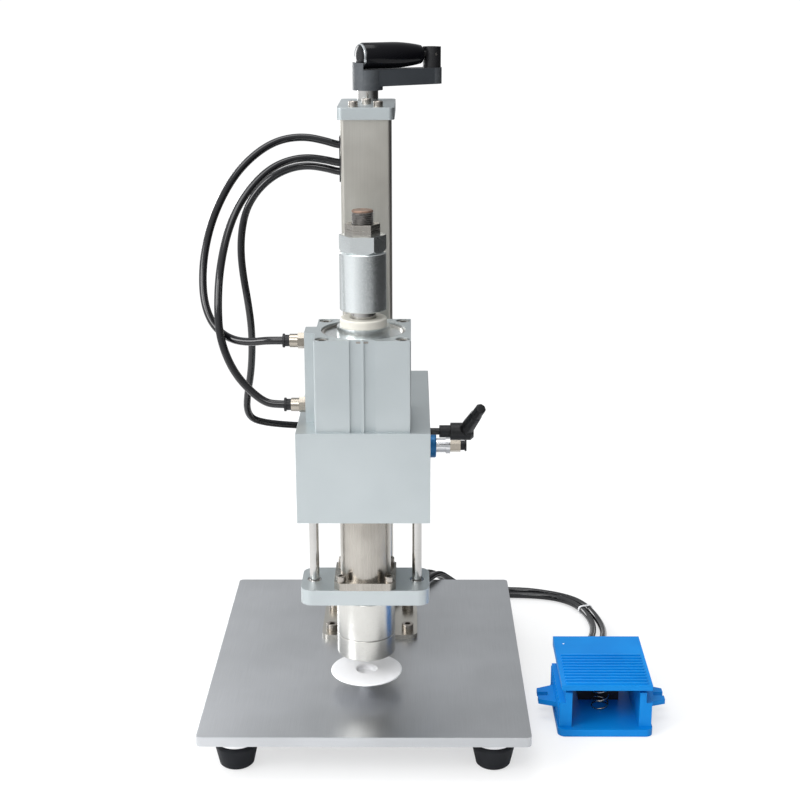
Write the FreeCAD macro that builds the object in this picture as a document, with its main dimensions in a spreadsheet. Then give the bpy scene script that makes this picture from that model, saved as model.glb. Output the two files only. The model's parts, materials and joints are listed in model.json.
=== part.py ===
"""Vial capping press: a pneumatic crimping head on a hand-cranked column, with its foot valve.

Millimetres, +Z up. The origin lies on the floor under the crimping axis, +Y runs from the
operator to the column, and +X is the operator's right.
"""
import FreeCAD, Part
import Sketcher
import math
import os
import re

SIZES = {
    # base plate and its feet
    "foot_height": 25.5,
    "foot_top_radius": 22,
    "foot_sole_radius": 17.5,
    "foot_inset": 36,
    "spacer_height": 12,
    "spacer_radius": 20,
    "stud_radius": 4,
    "plate_thick": 10.5,
    "plate_width": 333,
    "plate_front": 113,
    "plate_back": 280,
    "foot_skin": 2.5,
    "plate_corner": 5,
    # column, its flange and its cap
    "column_setback": 151.5,
    "column_width": 53,
    "column_wall": 3,
    "column_corner": 4,
    "column_height": 580,
    "column_lid": 10,
    "flange_width": 108,
    "flange_depth": 83,
    "flange_thick": 5,
    "flange_corner": 8,
    "flange_screw_x": 43,
    "flange_screw_y": 27.5,
    "cap_width": 60,
    "cap_front": 31.5,
    "cap_back": 86.5,
    "cap_thick": 12.5,
    "cap_corner": 6,
    "cap_screw_spread": 13,
    "cap_screw_front": 20.5,
    "cap_screw_back": 13.5,
    # lifting screw and its bearings
    "screw_setback": 210,
    "screw_radius": 8,
    "bearing_radius": 11.5,
    "bearing_height": 11.5,
    "journal_clear": 0.06,
    # crank with its folding grip
    "hub_radius": 16.5,
    "hub_height": 21.5,
    "hub_rim_start": 11.2,
    "hub_rim_height": 7.5,
    "arm_reach_x": 70,
    "arm_reach_y": 38,
    "arm_rise": 4,
    "arm_thick": 17.5,
    "arm_tip_radius": 11,
    "pivot_radius": 10,
    "pivot_height": 22.4,
    "grip_clear": 0.4,
    "slot_width": 8,
    "grip_pin_radius": 1.5,
    "stem_radius": 4,
    "stem_spare": 2,
    "grip_start": 14,
    "grip_length": 73,
    "grip_radius": 14,
    "grip_neck_radius": 10.5,
    "grip_cap_length": 3,
    # carriage block on the column
    "carriage_level": 202,
    "block_height": 93,
    "block_width": 132,
    "block_front": 51,
    "block_back": 186,
    "slide_clear": 0.1,
    "nut_width": 44,
    "nut_thick": 20,
    "nut_back": 22,
    "nut_radius": 13,
    "nut_collar_radius": 19,
    "nut_collar_thick": 6,
    "nut_length": 34,
    # compact air cylinder
    "cylinder_side": 94,
    "cylinder_height": 92,
    "cylinder_edge": 1.5,
    "bore_radius": 40,
    "cover_radius": 42,
    "cover_thick": 12,
    "cover_recess": 15.5,
    "snap_thick": 2,
    "snap_depth": 1.4,
    "snap_width": 3,
    "channel_width": 25,
    "channel_depth": 4,
    "channel_rib": 3,
    "port_width": 26,
    "port_depth": 11,
    "port_inset": 11,
    "port_lift": 4,
    "tie_spread": 39,
    "tie_hole_radius": 4.5,
    "tie_head_radius": 6.5,
    "tie_head_height": 8,
    "tie_sink_radius": 7,
    "tie_sink_depth": 9,
    "tie_tap_depth": 20,
    "tap_spare": 4,
    "collar_radius": 26,
    "collar_height": 5,
    "pad_radius": 23.2,
    "pad_thick": 8,
    # piston, rod and stroke stop
    "piston_thick": 18,
    "piston_top_gap": 4,
    "running_clear": 0.06,
    "rod_radius": 12.5,
    "stroke": 8,
    "thread_radius": 11,
    "sleeve_radius": 23,
    "sleeve_length": 57.5,
    "sleeve_hex": 40,
    "sleeve_hex_height": 16.5,
    "jam_hex": 30,
    "jam_thick": 5.5,
    "thread_spare": 13,
    "rod_screwed_in": 25,
    # ram tube, tool plate and guide rods
    "ram_reach": 81,
    "ram_radius": 26,
    "ram_cover_gap": 14,
    "ram_flange_side": 63,
    "ram_flange_clip": 6,
    "ram_flange_thick": 8,
    "ram_screw_spread": 24.5,
    "tool_width": 132,
    "tool_depth": 61,
    "tool_thick": 16.5,
    "tool_corner": 12,
    "guide_spread": 53,
    "guide_radius": 5,
    "guide_collar_radius": 7.5,
    "guide_collar_height": 3,
    "guide_length": 165,
    "bush_radius": 8,
    "bush_length": 40,
    # crimping head
    "head_radius": 30.3,
    "head_height": 41.2,
    "ring_height": 22.7,
    "ring_bore_radius": 17,
    "chamber_radius": 20.5,
    "chamber_height": 30,
    "collet_height": 20,
    "collet_bore_radius": 12,
    "collet_slit": 1.5,
    "collet_web": 5,
    "presser_radius": 11.8,
    "presser_collar_radius": 20.3,
    "presser_collar_thick": 4,
    "presser_sink": 8,
    "presser_travel": 5,
    "spring_wire": 2,
    "spring_radius": 19,
    # bottle seat
    "seat_radius": 37.5,
    "seat_height": 18.6,
    "seat_rim": 2.2,
    "seat_stem_radius": 7.5,
    "seat_stem_height": 9,
    "seat_hole_radius": 9.4,
    "seat_hole_depth": 6,
    "seat_lead": 1.8,
    # clamp screw with its lever
    "clamp_rise": 32,
    "clamp_pad_radius": 9,
    "clamp_pad_thick": 6,
    "clamp_stud_radius": 3.8,
    "clamp_stud_out": 25.5,
    "lever_gap": 12.5,
    "lever_neck_radius": 7,
    "lever_neck": 12.3,
    "lever_hub_radius": 9.8,
    "lever_hub": 26,
    "lever_tip_out": 43,
    "lever_tip_near": 43,
    "lever_tip_up": 39,
    "lever_root_radius": 8.2,
    "lever_tip_radius": 6.2,
    "lever_lift": 4,
    # supply slide valve behind the block
    "valve_setback": 15,
    "valve_drop": 0.5,
    "valve_left": 14,
    "valve_right": 92,
    "valve_radius": 8.3,
    "valve_ring_radius": 9.6,
    "valve_ring": 5,
    "slider_radius": 14.2,
    "slider_length": 36,
    "slider_right": 76,
    "slider_travel": 8,
    "clip_left": 19,
    "clip_width": 9,
    "clip_height": 20,
    "outlet_in": 8,
    "supply_extra": 5,
    # push-in fittings
    "fitting_hex": 14,
    "fitting_hex_length": 7,
    "fitting_radius": 6.8,
    "fitting_body": 8,
    "release_radius": 5.6,
    "release_flange_radius": 6.8,
    "release_out": 7,
    "release_travel": 1.2,
    "fitting_bore": 12,
    "outlet_flat_depth": 0.8,
    "edge_break": 0.8,
    "socket_share": 0.92,
    "socket_depth_share": 0.55,
    "grip_face_share": 0.6,
    "hose_radius": 4,
    "hose_bore_clear": 0.1,
    # openings of the column for the hoses
    "upper_slot_drop": 43,
    "upper_slot_half": 20.5,
    "upper_slot_width": 13.4,
    "lower_slot_z": 68,
    "lower_slot_x": 12.5,
    "lower_slot_half": 9.5,
    "lower_slot_height": 9.6,
    "grommet_wall": 1.5,
    "grommet_lip": 2,
    "tee_length": 16,
    "tee_width": 14,
    "tee_height": 27,
    "tee_front": 144.5,
    "tee_drop": 67,
    "tie_thick": 1.2,
    "tie_width": 2.5,
    "tie_clear": 0.1,
    # foot valve
    "pedal_x": 252,
    "pedal_front": 24.6,
    "pedal_back": 82,
    "pedal_width": 100,
    "pedal_corner": 8,
    "pedal_floor": 8,
    "pedal_wall": 7,
    "pedal_wall_inset": 7.5,
    "pedal_wall_setback": 6,
    "curb_inset": 1.5,
    "curb_height": 28,
    "pedal_wall_front_z": 48,
    "pedal_wall_back_z": 53,
    "ear_out": 18,
    "ear_root_front": 4.5,
    "ear_root_back": 51,
    "ear_tip_front": 14,
    "ear_tip_back": 39,
    "ear_level": 18,
    "ear_thick": 5.5,
    "ear_slot": 8,
    "ear_slot_depth": 11,
    "treadle_width": 95,
    "treadle_front_z": 59.5,
    "treadle_back_z": 66,
    "treadle_skin": 2.5,
    "treadle_lip": 6,
    "treadle_skirt": 3,
    "hinge_setback": 72,
    "hinge_z": 48,
    "hinge_radius": 2.5,
    "knuckle_radius": 5,
    "knuckle_width": 7.5,
    "knuckle_gap": 0.5,
    "pedal_spring_y": 28,
    "pedal_spring_radius": 9.8,
    "valve_block_width": 44,
    "valve_block_front": 42,
    "valve_block_back": 80,
    "valve_block_height": 32,
    "plunger_y": 48,
    "plunger_radius": 4,
    "plunger_gap": 0.22,
    "plunger_tip": 1,
    "plunger_in": 10,
    "plunger_bore_depth": 20,
    "pedal_port_out": 12,
    "pedal_spring_wire": 1.6,
    "pedal_spring_gap": 0.03,
    "pedal_port_spread": 8.5,
    "pedal_port_z": 24,
}

DOC = FreeCAD.newDocument("VialCappingPress")
SHEET = DOC.addObject("Spreadsheet::Sheet", "Sizes")
for line, (size, number) in enumerate(SIZES.items(), start=1):
    SHEET.set(f"A{line}", size)
    SHEET.set(f"B{line}", str(number))
    SHEET.setAlias(f"B{line}", size)
DOC.recompute()

PARTS = []
ORIGIN = ("0", "0", "0")
UPRIGHT = FreeCAD.Rotation()
TO_RIGHT = FreeCAD.Rotation(FreeCAD.Vector(0, 1, 0), 90)
TO_LEFT = FreeCAD.Rotation(FreeCAD.Vector(0, 1, 0), -90)
TO_BACK = FreeCAD.Rotation(FreeCAD.Vector(1, 0, 0), -90)

# Levels up the machine, each worked out from the sizes below it
PLATE_BOTTOM = "(foot_height + spacer_height)"
PLATE_TOP = "(foot_height + spacer_height + plate_thick)"
COLUMN_TOP = f"({PLATE_TOP} + column_height)"
CAP_TOP = f"({COLUMN_TOP} + cap_thick)"
BLOCK_BOTTOM = f"({PLATE_TOP} + carriage_level)"
BLOCK_TOP = f"({BLOCK_BOTTOM} + block_height)"
CYLINDER_TOP = f"({BLOCK_TOP} + cylinder_height)"
COLLAR_TOP = f"({CYLINDER_TOP} + collar_height)"
PAD_TOP = f"({COLLAR_TOP} + pad_thick)"
SLEEVE_BOTTOM = f"({PAD_TOP} + stroke)"
SLEEVE_TOP = f"({SLEEVE_BOTTOM} + sleeve_length + sleeve_hex_height)"
THREAD_TOP = f"({SLEEVE_TOP} + 2 * jam_thick + thread_spare)"
TOOL_TOP = f"({BLOCK_BOTTOM} - ram_reach)"
TOOL_BOTTOM = f"({TOOL_TOP} - tool_thick)"
HEAD_BOTTOM = f"({TOOL_BOTTOM} - head_height)"
RING_BOTTOM = f"({HEAD_BOTTOM} - ring_height)"
RAM_TOP = f"({BLOCK_TOP} - ram_cover_gap)"
PISTON_TOP = f"({CYLINDER_TOP} - cover_recess - piston_top_gap)"
HUB_BOTTOM = f"({CAP_TOP} + bearing_height)"
HUB_TOP = f"({HUB_BOTTOM} + hub_height)"
START_SIZE = 50


def size(name):
    """The number that the sheet holds under this name."""
    return float(SHEET.get(name))


def formula(text):
    """An expression whose size names point at the sheet."""
    return re.sub(r"[a-z][a-z_]*", lambda word: sheet_name(word.group(0)), str(text))


def sheet_name(word):
    """The word as the sheet's own name, if it names a size."""
    return "Sizes." + word if word in SIZES else word


def bind(item, prop, text):
    """Tie one property of an object to an expression of sizes."""
    item.setExpression(prop, formula(text))


def place(item, at, turn=UPRIGHT):
    """Turn the object, and tie its position to three expressions."""
    item.Placement = FreeCAD.Placement(FreeCAD.Vector(), turn)
    for axis, text in zip("xyz", at):
        if text != "0":
            bind(item, f"Placement.Base.{axis}", text)


def keep(item, label):
    """Name a finished sub-part and list it for export."""
    item.Label = label
    PARTS.append(item)
    return item


def new_body(name, at=ORIGIN, turn=UPRIGHT):
    """An empty body at its place."""
    body = DOC.addObject("PartDesign::Body", name)
    place(body, at, turn)
    return body


def new_sketch(body, name, plane, level="0"):
    """A sketch on one of the body's own planes, moved along the plane's normal."""
    sketch = body.newObject("Sketcher::SketchObject", name)
    planes = [item for item in body.Origin.OriginFeatures if item.Role == plane]
    sketch.AttachmentSupport = [(planes[0], "")]
    sketch.MapMode = "FlatFace"
    if level != "0":
        bind(sketch, "AttachmentOffset.Base.z", level)
    return sketch


def fix_point(sketch, geometry, position, point):
    """Hold one point of a sketch at two expressions."""
    for kind, text in zip(("DistanceX", "DistanceY"), point):
        index = sketch.addConstraint(Sketcher.Constraint(kind, -1, 1, geometry, position, 1.0))
        if text == "0":
            sketch.setDatum(index, FreeCAD.Units.Quantity("0 mm"))
        else:
            bind(sketch, f"Constraints[{index}]", text)


def outline(body, name, plane, points, level="0"):
    """A closed outline of straight lines through points given as pairs of expressions."""
    sketch = new_sketch(body, name, plane, level)
    count = len(points)
    corners = []
    for index in range(count):
        angle = 2 * math.pi * index / count
        corners.append(FreeCAD.Vector(START_SIZE * math.cos(angle), START_SIZE * math.sin(angle), 0))
    for index in range(count):
        sketch.addGeometry(Part.LineSegment(corners[index], corners[(index + 1) % count]))
    for index in range(count):
        sketch.addConstraint(Sketcher.Constraint("Coincident", index, 2, (index + 1) % count, 1))
        fix_point(sketch, index, 1, points[index])
    return sketch


def circles(body, name, plane, rounds, level="0"):
    """A sketch of circles, each an expression for x, y and radius."""
    sketch = new_sketch(body, name, plane, level)
    for x, y, radius in rounds:
        index = sketch.addGeometry(Part.Circle(FreeCAD.Vector(1, 1, 0), FreeCAD.Vector(0, 0, 1), 2))
        fix_point(sketch, index, 3, (x, y))
        held = sketch.addConstraint(Sketcher.Constraint("Radius", index, 2))
        bind(sketch, f"Constraints[{held}]", radius)
    return sketch


def pad(body, sketch, length, both_ways=False):
    """Raise a sketch by a length."""
    feature = body.newObject("PartDesign::Pad", sketch.Name + "_pad")
    feature.Profile = sketch
    feature.Midplane = both_ways
    bind(feature, "Length", length)
    return feature


def cut(body, sketch, depth=None, upward=False):
    """Pocket a sketch: down from its plane, up from it, or right through both ways."""
    feature = body.newObject("PartDesign::Pocket", sketch.Name + "_cut")
    feature.Profile = sketch
    feature.Reversed = upward
    if depth is None:
        feature.Type = "ThroughAll"
        feature.Midplane = True
    else:
        bind(feature, "Length", depth)
    return feature


def soften(body, radius, wanted, kind="Fillet"):
    """Round or chamfer the edges that the test wants, by a radius from the sheet."""
    DOC.recompute()
    base = body.Tip
    names = [f"Edge{n}" for n, edge in enumerate(base.Shape.Edges, start=1) if wanted(edge)]
    feature = body.newObject(f"PartDesign::{kind}", f"{body.Name}_{kind.lower()}")
    feature.Base = (base, names)
    bind(feature, "Radius" if kind == "Fillet" else "Size", radius)
    return feature


def is_upright(edge):
    """Whether an edge runs straight up."""
    first = edge.Vertexes[0].Point
    last = edge.Vertexes[-1].Point
    flat = math.hypot(first.x - last.x, first.y - last.y)
    return isinstance(edge.Curve, Part.Line) and flat < 1e-6 and abs(first.z - last.z) > 1e-3


def turned(name, profile, at=ORIGIN, turn=UPRIGHT):
    """A body turned about its own Z axis from pairs of radius and height."""
    body = new_body(name, at, turn)
    sketch = outline(body, name + "_profile", "XZ_Plane", profile)
    feature = body.newObject("PartDesign::Revolution", name + "_turned")
    feature.Profile = sketch
    feature.ReferenceAxis = (sketch, ["V_Axis"])
    feature.Angle = 360
    return body


def pipe(inner, outer, bottom, top):
    """The profile of a plain ring."""
    return [(inner, bottom), (outer, bottom), (outer, top), (inner, top)]


def oblong(left, right, front, back):
    """The four corners of a rectangle."""
    return [(left, front), (right, front), (right, back), (left, back)]


def hexagon(across):
    """The six corners of a hexagon of this width across its flats."""
    side = f"({across}) / sqrt(3)"
    half = f"({across}) / 2"
    return [
        (side, "0"),
        (f"{side} / 2", half),
        (f"-{side} / 2", half),
        (f"-{side}", "0"),
        (f"-{side} / 2", f"-{half}"),
        (f"{side} / 2", f"-{half}"),
    ]


def hex_nut(name, across, bore, thick, at):
    """A plain hexagon nut."""
    body = new_body(name, at)
    pad(body, outline(body, name + "_hex", "XY_Plane", hexagon(across)), thick)
    cut(body, circles(body, name + "_bore", "XY_Plane", [("0", "0", bore)]))
    return body


def socket_screw(name, shank, length, head, head_height, at, turn=UPRIGHT):
    """A socket head screw: its seat is at its own zero, the shank below and the head above."""
    profile = [
        ("0", f"-({length})"),
        (shank, f"-({length})"),
        (shank, "0"),
        (head, "0"),
        (head, f"({head_height}) - 0.6"),
        (f"({head}) - 0.6", head_height),
        ("0", head_height),
    ]
    body = turned(name, profile, at, turn)
    socket = outline(body, name + "_socket", "XY_Plane", hexagon(f"({head}) * socket_share"), head_height)
    cut(body, socket, f"({head_height}) * socket_depth_share")
    return body


def group(label, items):
    """Several alike solids kept as one sub-part."""
    compound = DOC.addObject("Part::Compound", label)
    compound.Links = items
    return keep(compound, label)


# Base plate on its four feet
FOOT_XS = ("-(plate_width / 2 - foot_inset)", "(plate_width / 2 - foot_inset)")
FOOT_YS = ("-(plate_front - foot_inset)", "(plate_back - foot_inset)")
FOOT_SPOTS = [(x, y) for x in FOOT_XS for y in FOOT_YS]
FLANGE_SPOTS = [
    (f"{x} * flange_screw_x", f"column_setback + {y} * flange_screw_y")
    for x in (-1, 1)
    for y in (-1, 1)
]


def base_plate():
    """The flat steel plate, with its holes for the feet and the column."""
    body = new_body("base_plate", ("0", "0", PLATE_BOTTOM))
    corners = oblong("-plate_width / 2", "plate_width / 2", "-plate_front", "plate_back")
    pad(body, outline(body, "plate_outline", "XY_Plane", corners), "plate_thick")
    soften(body, "plate_corner", is_upright)
    flange = [(x, y, "stud_radius + running_clear") for x, y in FLANGE_SPOTS]
    cut(body, circles(body, "plate_holes", "XY_Plane", flange))
    foot = [(x, y, "stud_radius + running_clear") for x, y in FOOT_SPOTS]
    level = "plate_thick - foot_skin"
    cut(body, circles(body, "foot_holes", "XY_Plane", foot, level), "plate_thick")
    keep(body, "base_plate")


def feet():
    """Four steel spacers with their studs, each standing in a rubber cone."""
    spacers = []
    rubbers = []
    for number, (x, y) in enumerate(FOOT_SPOTS, start=1):
        spacer = [
            ("0", "-foot_height / 2"),
            ("stud_radius", "-foot_height / 2"),
            ("stud_radius", "0"),
            ("spacer_radius", "0"),
            ("spacer_radius", "spacer_height"),
            ("stud_radius", "spacer_height"),
            ("stud_radius", "spacer_height + plate_thick - foot_skin - 1"),
            ("0", "spacer_height + plate_thick - foot_skin - 1"),
        ]
        spacers.append(turned(f"spacer_{number}", spacer, (x, y, "foot_height")))
        rubber = [
            ("stud_radius", "foot_height / 2"),
            ("0", "foot_height / 2"),
            ("0", "0"),
            ("foot_sole_radius - 2", "0"),
            ("foot_sole_radius", "2"),
            ("foot_top_radius", "foot_height - 3"),
            ("foot_top_radius - 1.5", "foot_height"),
            ("stud_radius", "foot_height"),
        ]
        rubbers.append(turned(f"rubber_{number}", rubber, (x, y, "0")))
    group("foot_spacers", spacers)
    group("rubber_feet", rubbers)


def column():
    """The square stainless column, welded to its flange and closed by a thick lid."""
    body = new_body("column", ("0", "column_setback", PLATE_TOP))
    half = "flange_width / 2"
    deep = "flange_depth / 2"
    pad(body, outline(body, "flange_outline", "XY_Plane", oblong(f"-{half}", half, f"-{deep}", deep)),
        "flange_thick")
    soften(body, "flange_corner", is_upright)
    side = "column_width / 2"
    tube = outline(body, "tube_outline", "XY_Plane", oblong(f"-{side}", side, f"-{side}", side))
    pad(body, tube, "column_height")
    DOC.recompute()
    reach = size("column_width") / 2
    soften(body, "column_corner", lambda edge: is_upright(edge) and
           abs(abs(edge.Vertexes[0].X) - reach) < 0.01 and edge.Length > size("column_height") / 2)
    inside = "(column_width / 2 - column_wall)"
    hollow = oblong(f"-{inside}", inside, f"-{inside}", inside)
    cut(body, outline(body, "tube_hollow", "XY_Plane", hollow, "column_height - column_lid"),
        "column_height - column_lid - flange_thick")
    holes = [(x, y.replace("column_setback + ", ""), "stud_radius + running_clear") for x, y in FLANGE_SPOTS]
    cut(body, circles(body, "flange_holes", "XY_Plane", holes))
    taps = [(x, y, "stud_radius * 0.75") for x, y in cap_spots()]
    cut(body, circles(body, "lid_taps", "XY_Plane", taps, "column_height"), "column_lid")
    high = "(column_height - upper_slot_drop)"
    wide = "(upper_slot_width / 2 + grommet_wall)"
    tall = "(upper_slot_half + grommet_wall)"
    slot = oblong(f"-{wide}", wide, f"{high} - {tall}", f"{high} + {tall}")
    cut(body, outline(body, "upper_slot", "YZ_Plane", slot, "-column_width / 2 + column_wall + 1"),
        "column_wall + 2")
    low = f"(lower_slot_z - {PLATE_TOP})"
    wide = "(lower_slot_half + grommet_wall)"
    tall = "(lower_slot_height / 2 + grommet_wall)"
    slot = oblong(f"lower_slot_x - {wide}", f"lower_slot_x + {wide}", f"{low} - {tall}", f"{low} + {tall}")
    cut(body, outline(body, "lower_slot", "XZ_Plane", slot, "-column_width / 2 + column_wall + 1"),
        "column_wall + 2")
    keep(body, "column")


def cap_spots():
    """The three cap screws, about the column's own axis."""
    return [
        ("-cap_screw_spread", "-cap_screw_front"),
        ("cap_screw_spread", "-cap_screw_front"),
        ("0", "cap_screw_back"),
    ]


def flange_screws():
    """Four screws through the flange into the plate."""
    screws = [
        socket_screw(f"flange_screw_{n}", "stud_radius", "flange_thick + plate_thick - 1",
                     "stud_radius * 1.65", "stud_radius * 2", (x, y, f"{PLATE_TOP} + flange_thick"))
        for n, (x, y) in enumerate(FLANGE_SPOTS, start=1)
    ]
    group("flange_screws", screws)


def column_cap():
    """The thick cap that reaches back over the lifting screw."""
    body = new_body("column_cap", ("0", "column_setback", COLUMN_TOP))
    edges = oblong("-cap_width / 2", "cap_width / 2", "-cap_front", "cap_back")
    pad(body, outline(body, "cap_outline", "XY_Plane", edges), "cap_thick")
    soften(body, "cap_corner", is_upright)
    holes = [(x, y, "stud_radius * 0.75 + running_clear") for x, y in cap_spots()]
    holes.append(("0", "screw_setback - column_setback", "screw_radius + 0.5"))
    cut(body, circles(body, "cap_holes", "XY_Plane", holes))
    keep(body, "column_cap")
    screws = [
        socket_screw(f"cap_screw_{n}", "stud_radius * 0.75 - running_clear",
                     "cap_thick + column_lid - 2", "stud_radius * 1.25", "stud_radius * 1.5",
                     (x, f"column_setback + {y}", CAP_TOP))
        for n, (x, y) in enumerate(cap_spots(), start=1)
    ]
    group("cap_screws", screws)


def screw_bearings():
    """Two alike flanged bushes: one on the cap, one on the plate."""
    bore = "screw_radius + journal_clear"
    bushes = [
        turned("upper_bearing", pipe(bore, "bearing_radius", "0", "bearing_height"),
               ("0", "screw_setback", CAP_TOP)),
        turned("lower_bearing", pipe(bore, "bearing_radius", "0", "bearing_height"),
               ("0", "screw_setback", PLATE_TOP)),
    ]
    group("screw_bearings", bushes)


def grommet(name, half_wide, half_tall, at, turn):
    """An oblong rubber edging: a wall in the slot with a lip outside it."""
    body = new_body(name, at, turn)
    wide = f"({half_wide} + grommet_wall)"
    tall = f"({half_tall} + grommet_wall)"
    pad(body, outline(body, name + "_wall", "XY_Plane", oblong(f"-{tall}", tall, f"-{wide}", wide),
                      "-column_wall"), "column_wall + grommet_lip / 2")
    wide = f"({half_wide} + 2 * grommet_wall)"
    tall = f"({half_tall} + 2 * grommet_wall)"
    pad(body, outline(body, name + "_lip", "XY_Plane", oblong(f"-{tall}", tall, f"-{wide}", wide)),
        "grommet_lip")
    hole = oblong(f"-({half_tall})", half_tall, f"-({half_wide})", half_wide)
    cut(body, outline(body, name + "_hole", "XY_Plane", hole))
    return body


def hose_grommets():
    """The edgings of the two hose openings of the column."""
    upper = grommet("upper_grommet", "upper_slot_width / 2", "upper_slot_half",
                    ("-column_width / 2", "column_setback", f"{COLUMN_TOP} - upper_slot_drop"), TO_LEFT)
    lower = grommet("lower_grommet", "lower_slot_height / 2", "lower_slot_half",
                    ("lower_slot_x", "column_setback + column_width / 2", "lower_slot_z"), TO_BACK)
    group("hose_grommets", [upper, lower])


def bottle_seat():
    """The white seat that carries the bottle, open in the middle."""
    profile = [
        ("0", "0"),
        ("seat_stem_radius", "0"),
        ("seat_stem_radius", "seat_stem_height"),
        ("seat_radius - 1", "seat_height - seat_rim"),
        ("seat_radius", "seat_height - seat_rim + 0.6"),
        ("seat_radius", "seat_height - 0.6"),
        ("seat_radius - edge_break", "seat_height"),
        ("seat_hole_radius + seat_lead", "seat_height"),
        ("seat_hole_radius", "seat_height - seat_lead"),
        ("seat_hole_radius", "seat_height - seat_hole_depth"),
        ("0", "seat_height - seat_hole_depth"),
    ]
    keep(turned("bottle_seat", profile, ("0", "0", PLATE_TOP)), "bottle_seat")


def lead_screw():
    """The lifting screw, from the lower bearing to the crank's hub."""
    profile = [
        ("0", "0"),
        ("screw_radius - 1", "0"),
        ("screw_radius", "1"),
        ("screw_radius", f"{HUB_TOP} - {PLATE_TOP} - 3"),
        ("0", f"{HUB_TOP} - {PLATE_TOP} - 3"),
    ]
    keep(turned("lead_screw", profile, ("0", "screw_setback", PLATE_TOP)), "lead_screw")


def crank_arm():
    """The crank: a round hub and a tapering arm out to the folding grip."""
    body = new_body("crank_arm", ("0", "screw_setback", HUB_BOTTOM))
    pad(body, circles(body, "hub_round", "XY_Plane", [("0", "0", "hub_radius")]),
        "hub_height + hub_rim_height")
    level = "arm_rise"
    reach = "sqrt(arm_reach_x ^ 2 + arm_reach_y ^ 2)"
    along = (f"arm_reach_x / {reach}", f"arm_reach_y / {reach}")
    web = []
    for radius, out, side in (
        ("(hub_radius - 1)", 0, 1),
        ("(hub_radius - 1)", 0, -1),
        ("(arm_tip_radius - 0.5)", 1, -1),
        ("(arm_tip_radius - 0.5)", 1, 1),
    ):
        web.append((
            f"{out} * arm_reach_x - {side} * {radius} * {along[1]}",
            f"{out} * arm_reach_y + {side} * {radius} * {along[0]}",
        ))
    lowered = [
        (f"{out} * {along[0]} - {side} * (hub_radius + 1) * {along[1]}",
         f"{out} * {along[1]} + {side} * (hub_radius + 1) * {along[0]}")
        for out, side in (("-hub_rim_start", 1), ("-hub_rim_start", -1),
                          ("(hub_radius + 1)", -1), ("(hub_radius + 1)", 1))
    ]
    cut(body, outline(body, "grip_room", "XY_Plane", lowered, "hub_height"), "hub_rim_height + 1",
        upward=True)
    pad(body, outline(body, "arm_web", "XY_Plane", web, level), "arm_thick")
    tip = circles(body, "arm_tip", "XY_Plane", [("arm_reach_x", "arm_reach_y", "arm_tip_radius")], level)
    pad(body, tip, "arm_thick")
    bore = circles(body, "hub_bore", "XY_Plane", [("0", "0", "screw_radius")])
    cut(body, bore, "hub_height - 3", upward=True)
    keep(body, "crank_arm")


# The folded grip lies back along the arm, just clear of it
ARM_TOP = f"({HUB_BOTTOM} + arm_rise + arm_thick)"
PIVOT_AXIS = "(grip_radius + grip_clear)"
ARM_ANGLE = math.degrees(math.atan2(size("arm_reach_y"), size("arm_reach_x")))
GRIP_TURN = FreeCAD.Rotation(FreeCAD.Vector(0, 0, 1), ARM_ANGLE + 180)
GRIP_PLACE = ("arm_reach_x", "screw_setback + arm_reach_y", f"{ARM_TOP} + {PIVOT_AXIS}")


def grip_pivot():
    """The slotted post on the arm's end, with the pin that the grip folds about."""
    body = new_body("grip_pivot", ("arm_reach_x", "screw_setback + arm_reach_y", ARM_TOP), GRIP_TURN)
    pad(body, circles(body, "post_round", "XY_Plane", [("0", "0", "pivot_radius")]), "pivot_height")
    half = "slot_width / 2"
    room = "(stem_radius + 0.5)"
    slot = oblong(f"-{room}", "pivot_radius + 1", f"-{half}", half)
    cut(body, outline(body, "post_slot", "XY_Plane", slot, "pivot_height"),
        f"pivot_height - {PIVOT_AXIS} + {room}")
    hole = circles(body, "post_pin_hole", "XZ_Plane", [("0", PIVOT_AXIS, "grip_pin_radius")])
    cut(body, hole)
    keep(body, "grip_pivot")
    pin = [
        ("0", "-pivot_radius + edge_break"),
        ("grip_pin_radius", "-pivot_radius + edge_break"),
        ("grip_pin_radius", "pivot_radius - edge_break"),
        ("0", "pivot_radius - edge_break"),
    ]
    across = GRIP_TURN.multiply(TO_BACK)
    keep(turned("grip_pin", pin, GRIP_PLACE, across), "grip_pin")


def grip_stem():
    """The folding stem: an eye on the pin and the steel core of the grip."""
    body = new_body("grip_stem", GRIP_PLACE, GRIP_TURN)
    eye = circles(body, "stem_eye", "XZ_Plane", [("0", "0", "stem_radius")])
    pad(body, eye, "slot_width - 0.4", both_ways=True)
    core = circles(body, "stem_core", "YZ_Plane", [("0", "0", "stem_radius * 0.9")])
    pad(body, core, "grip_start + grip_length - stem_spare")
    hole = circles(body, "stem_hole", "XZ_Plane", [("0", "0", "grip_pin_radius + running_clear")])
    cut(body, hole)
    keep(body, "grip_stem")


def grip():
    """The turning barrel on the stem, and its end cap."""
    bore = "stem_radius * 0.9 + running_clear"
    barrel = [
        (bore, "grip_start"),
        ("grip_neck_radius - 1", "grip_start"),
        ("grip_neck_radius", "grip_start + 1"),
        ("grip_radius * 0.97", "grip_start + grip_length * 0.36"),
        ("grip_radius", "grip_start + grip_length * 0.5"),
        ("grip_radius", "grip_start + grip_length"),
        (bore, "grip_start + grip_length"),
    ]
    along = GRIP_TURN.multiply(TO_RIGHT)
    keep(turned("grip_barrel", barrel, GRIP_PLACE, along), "grip_barrel")
    end = "grip_start + grip_length"
    cap = [
        ("0", end),
        ("grip_radius - 0.5", end),
        ("grip_radius - 1.5", f"{end} + grip_cap_length * 0.5"),
        ("grip_radius * grip_face_share", f"{end} + grip_cap_length"),
        ("0", f"{end} + grip_cap_length"),
    ]
    keep(turned("grip_cap", cap, GRIP_PLACE, along), "grip_cap")


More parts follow.
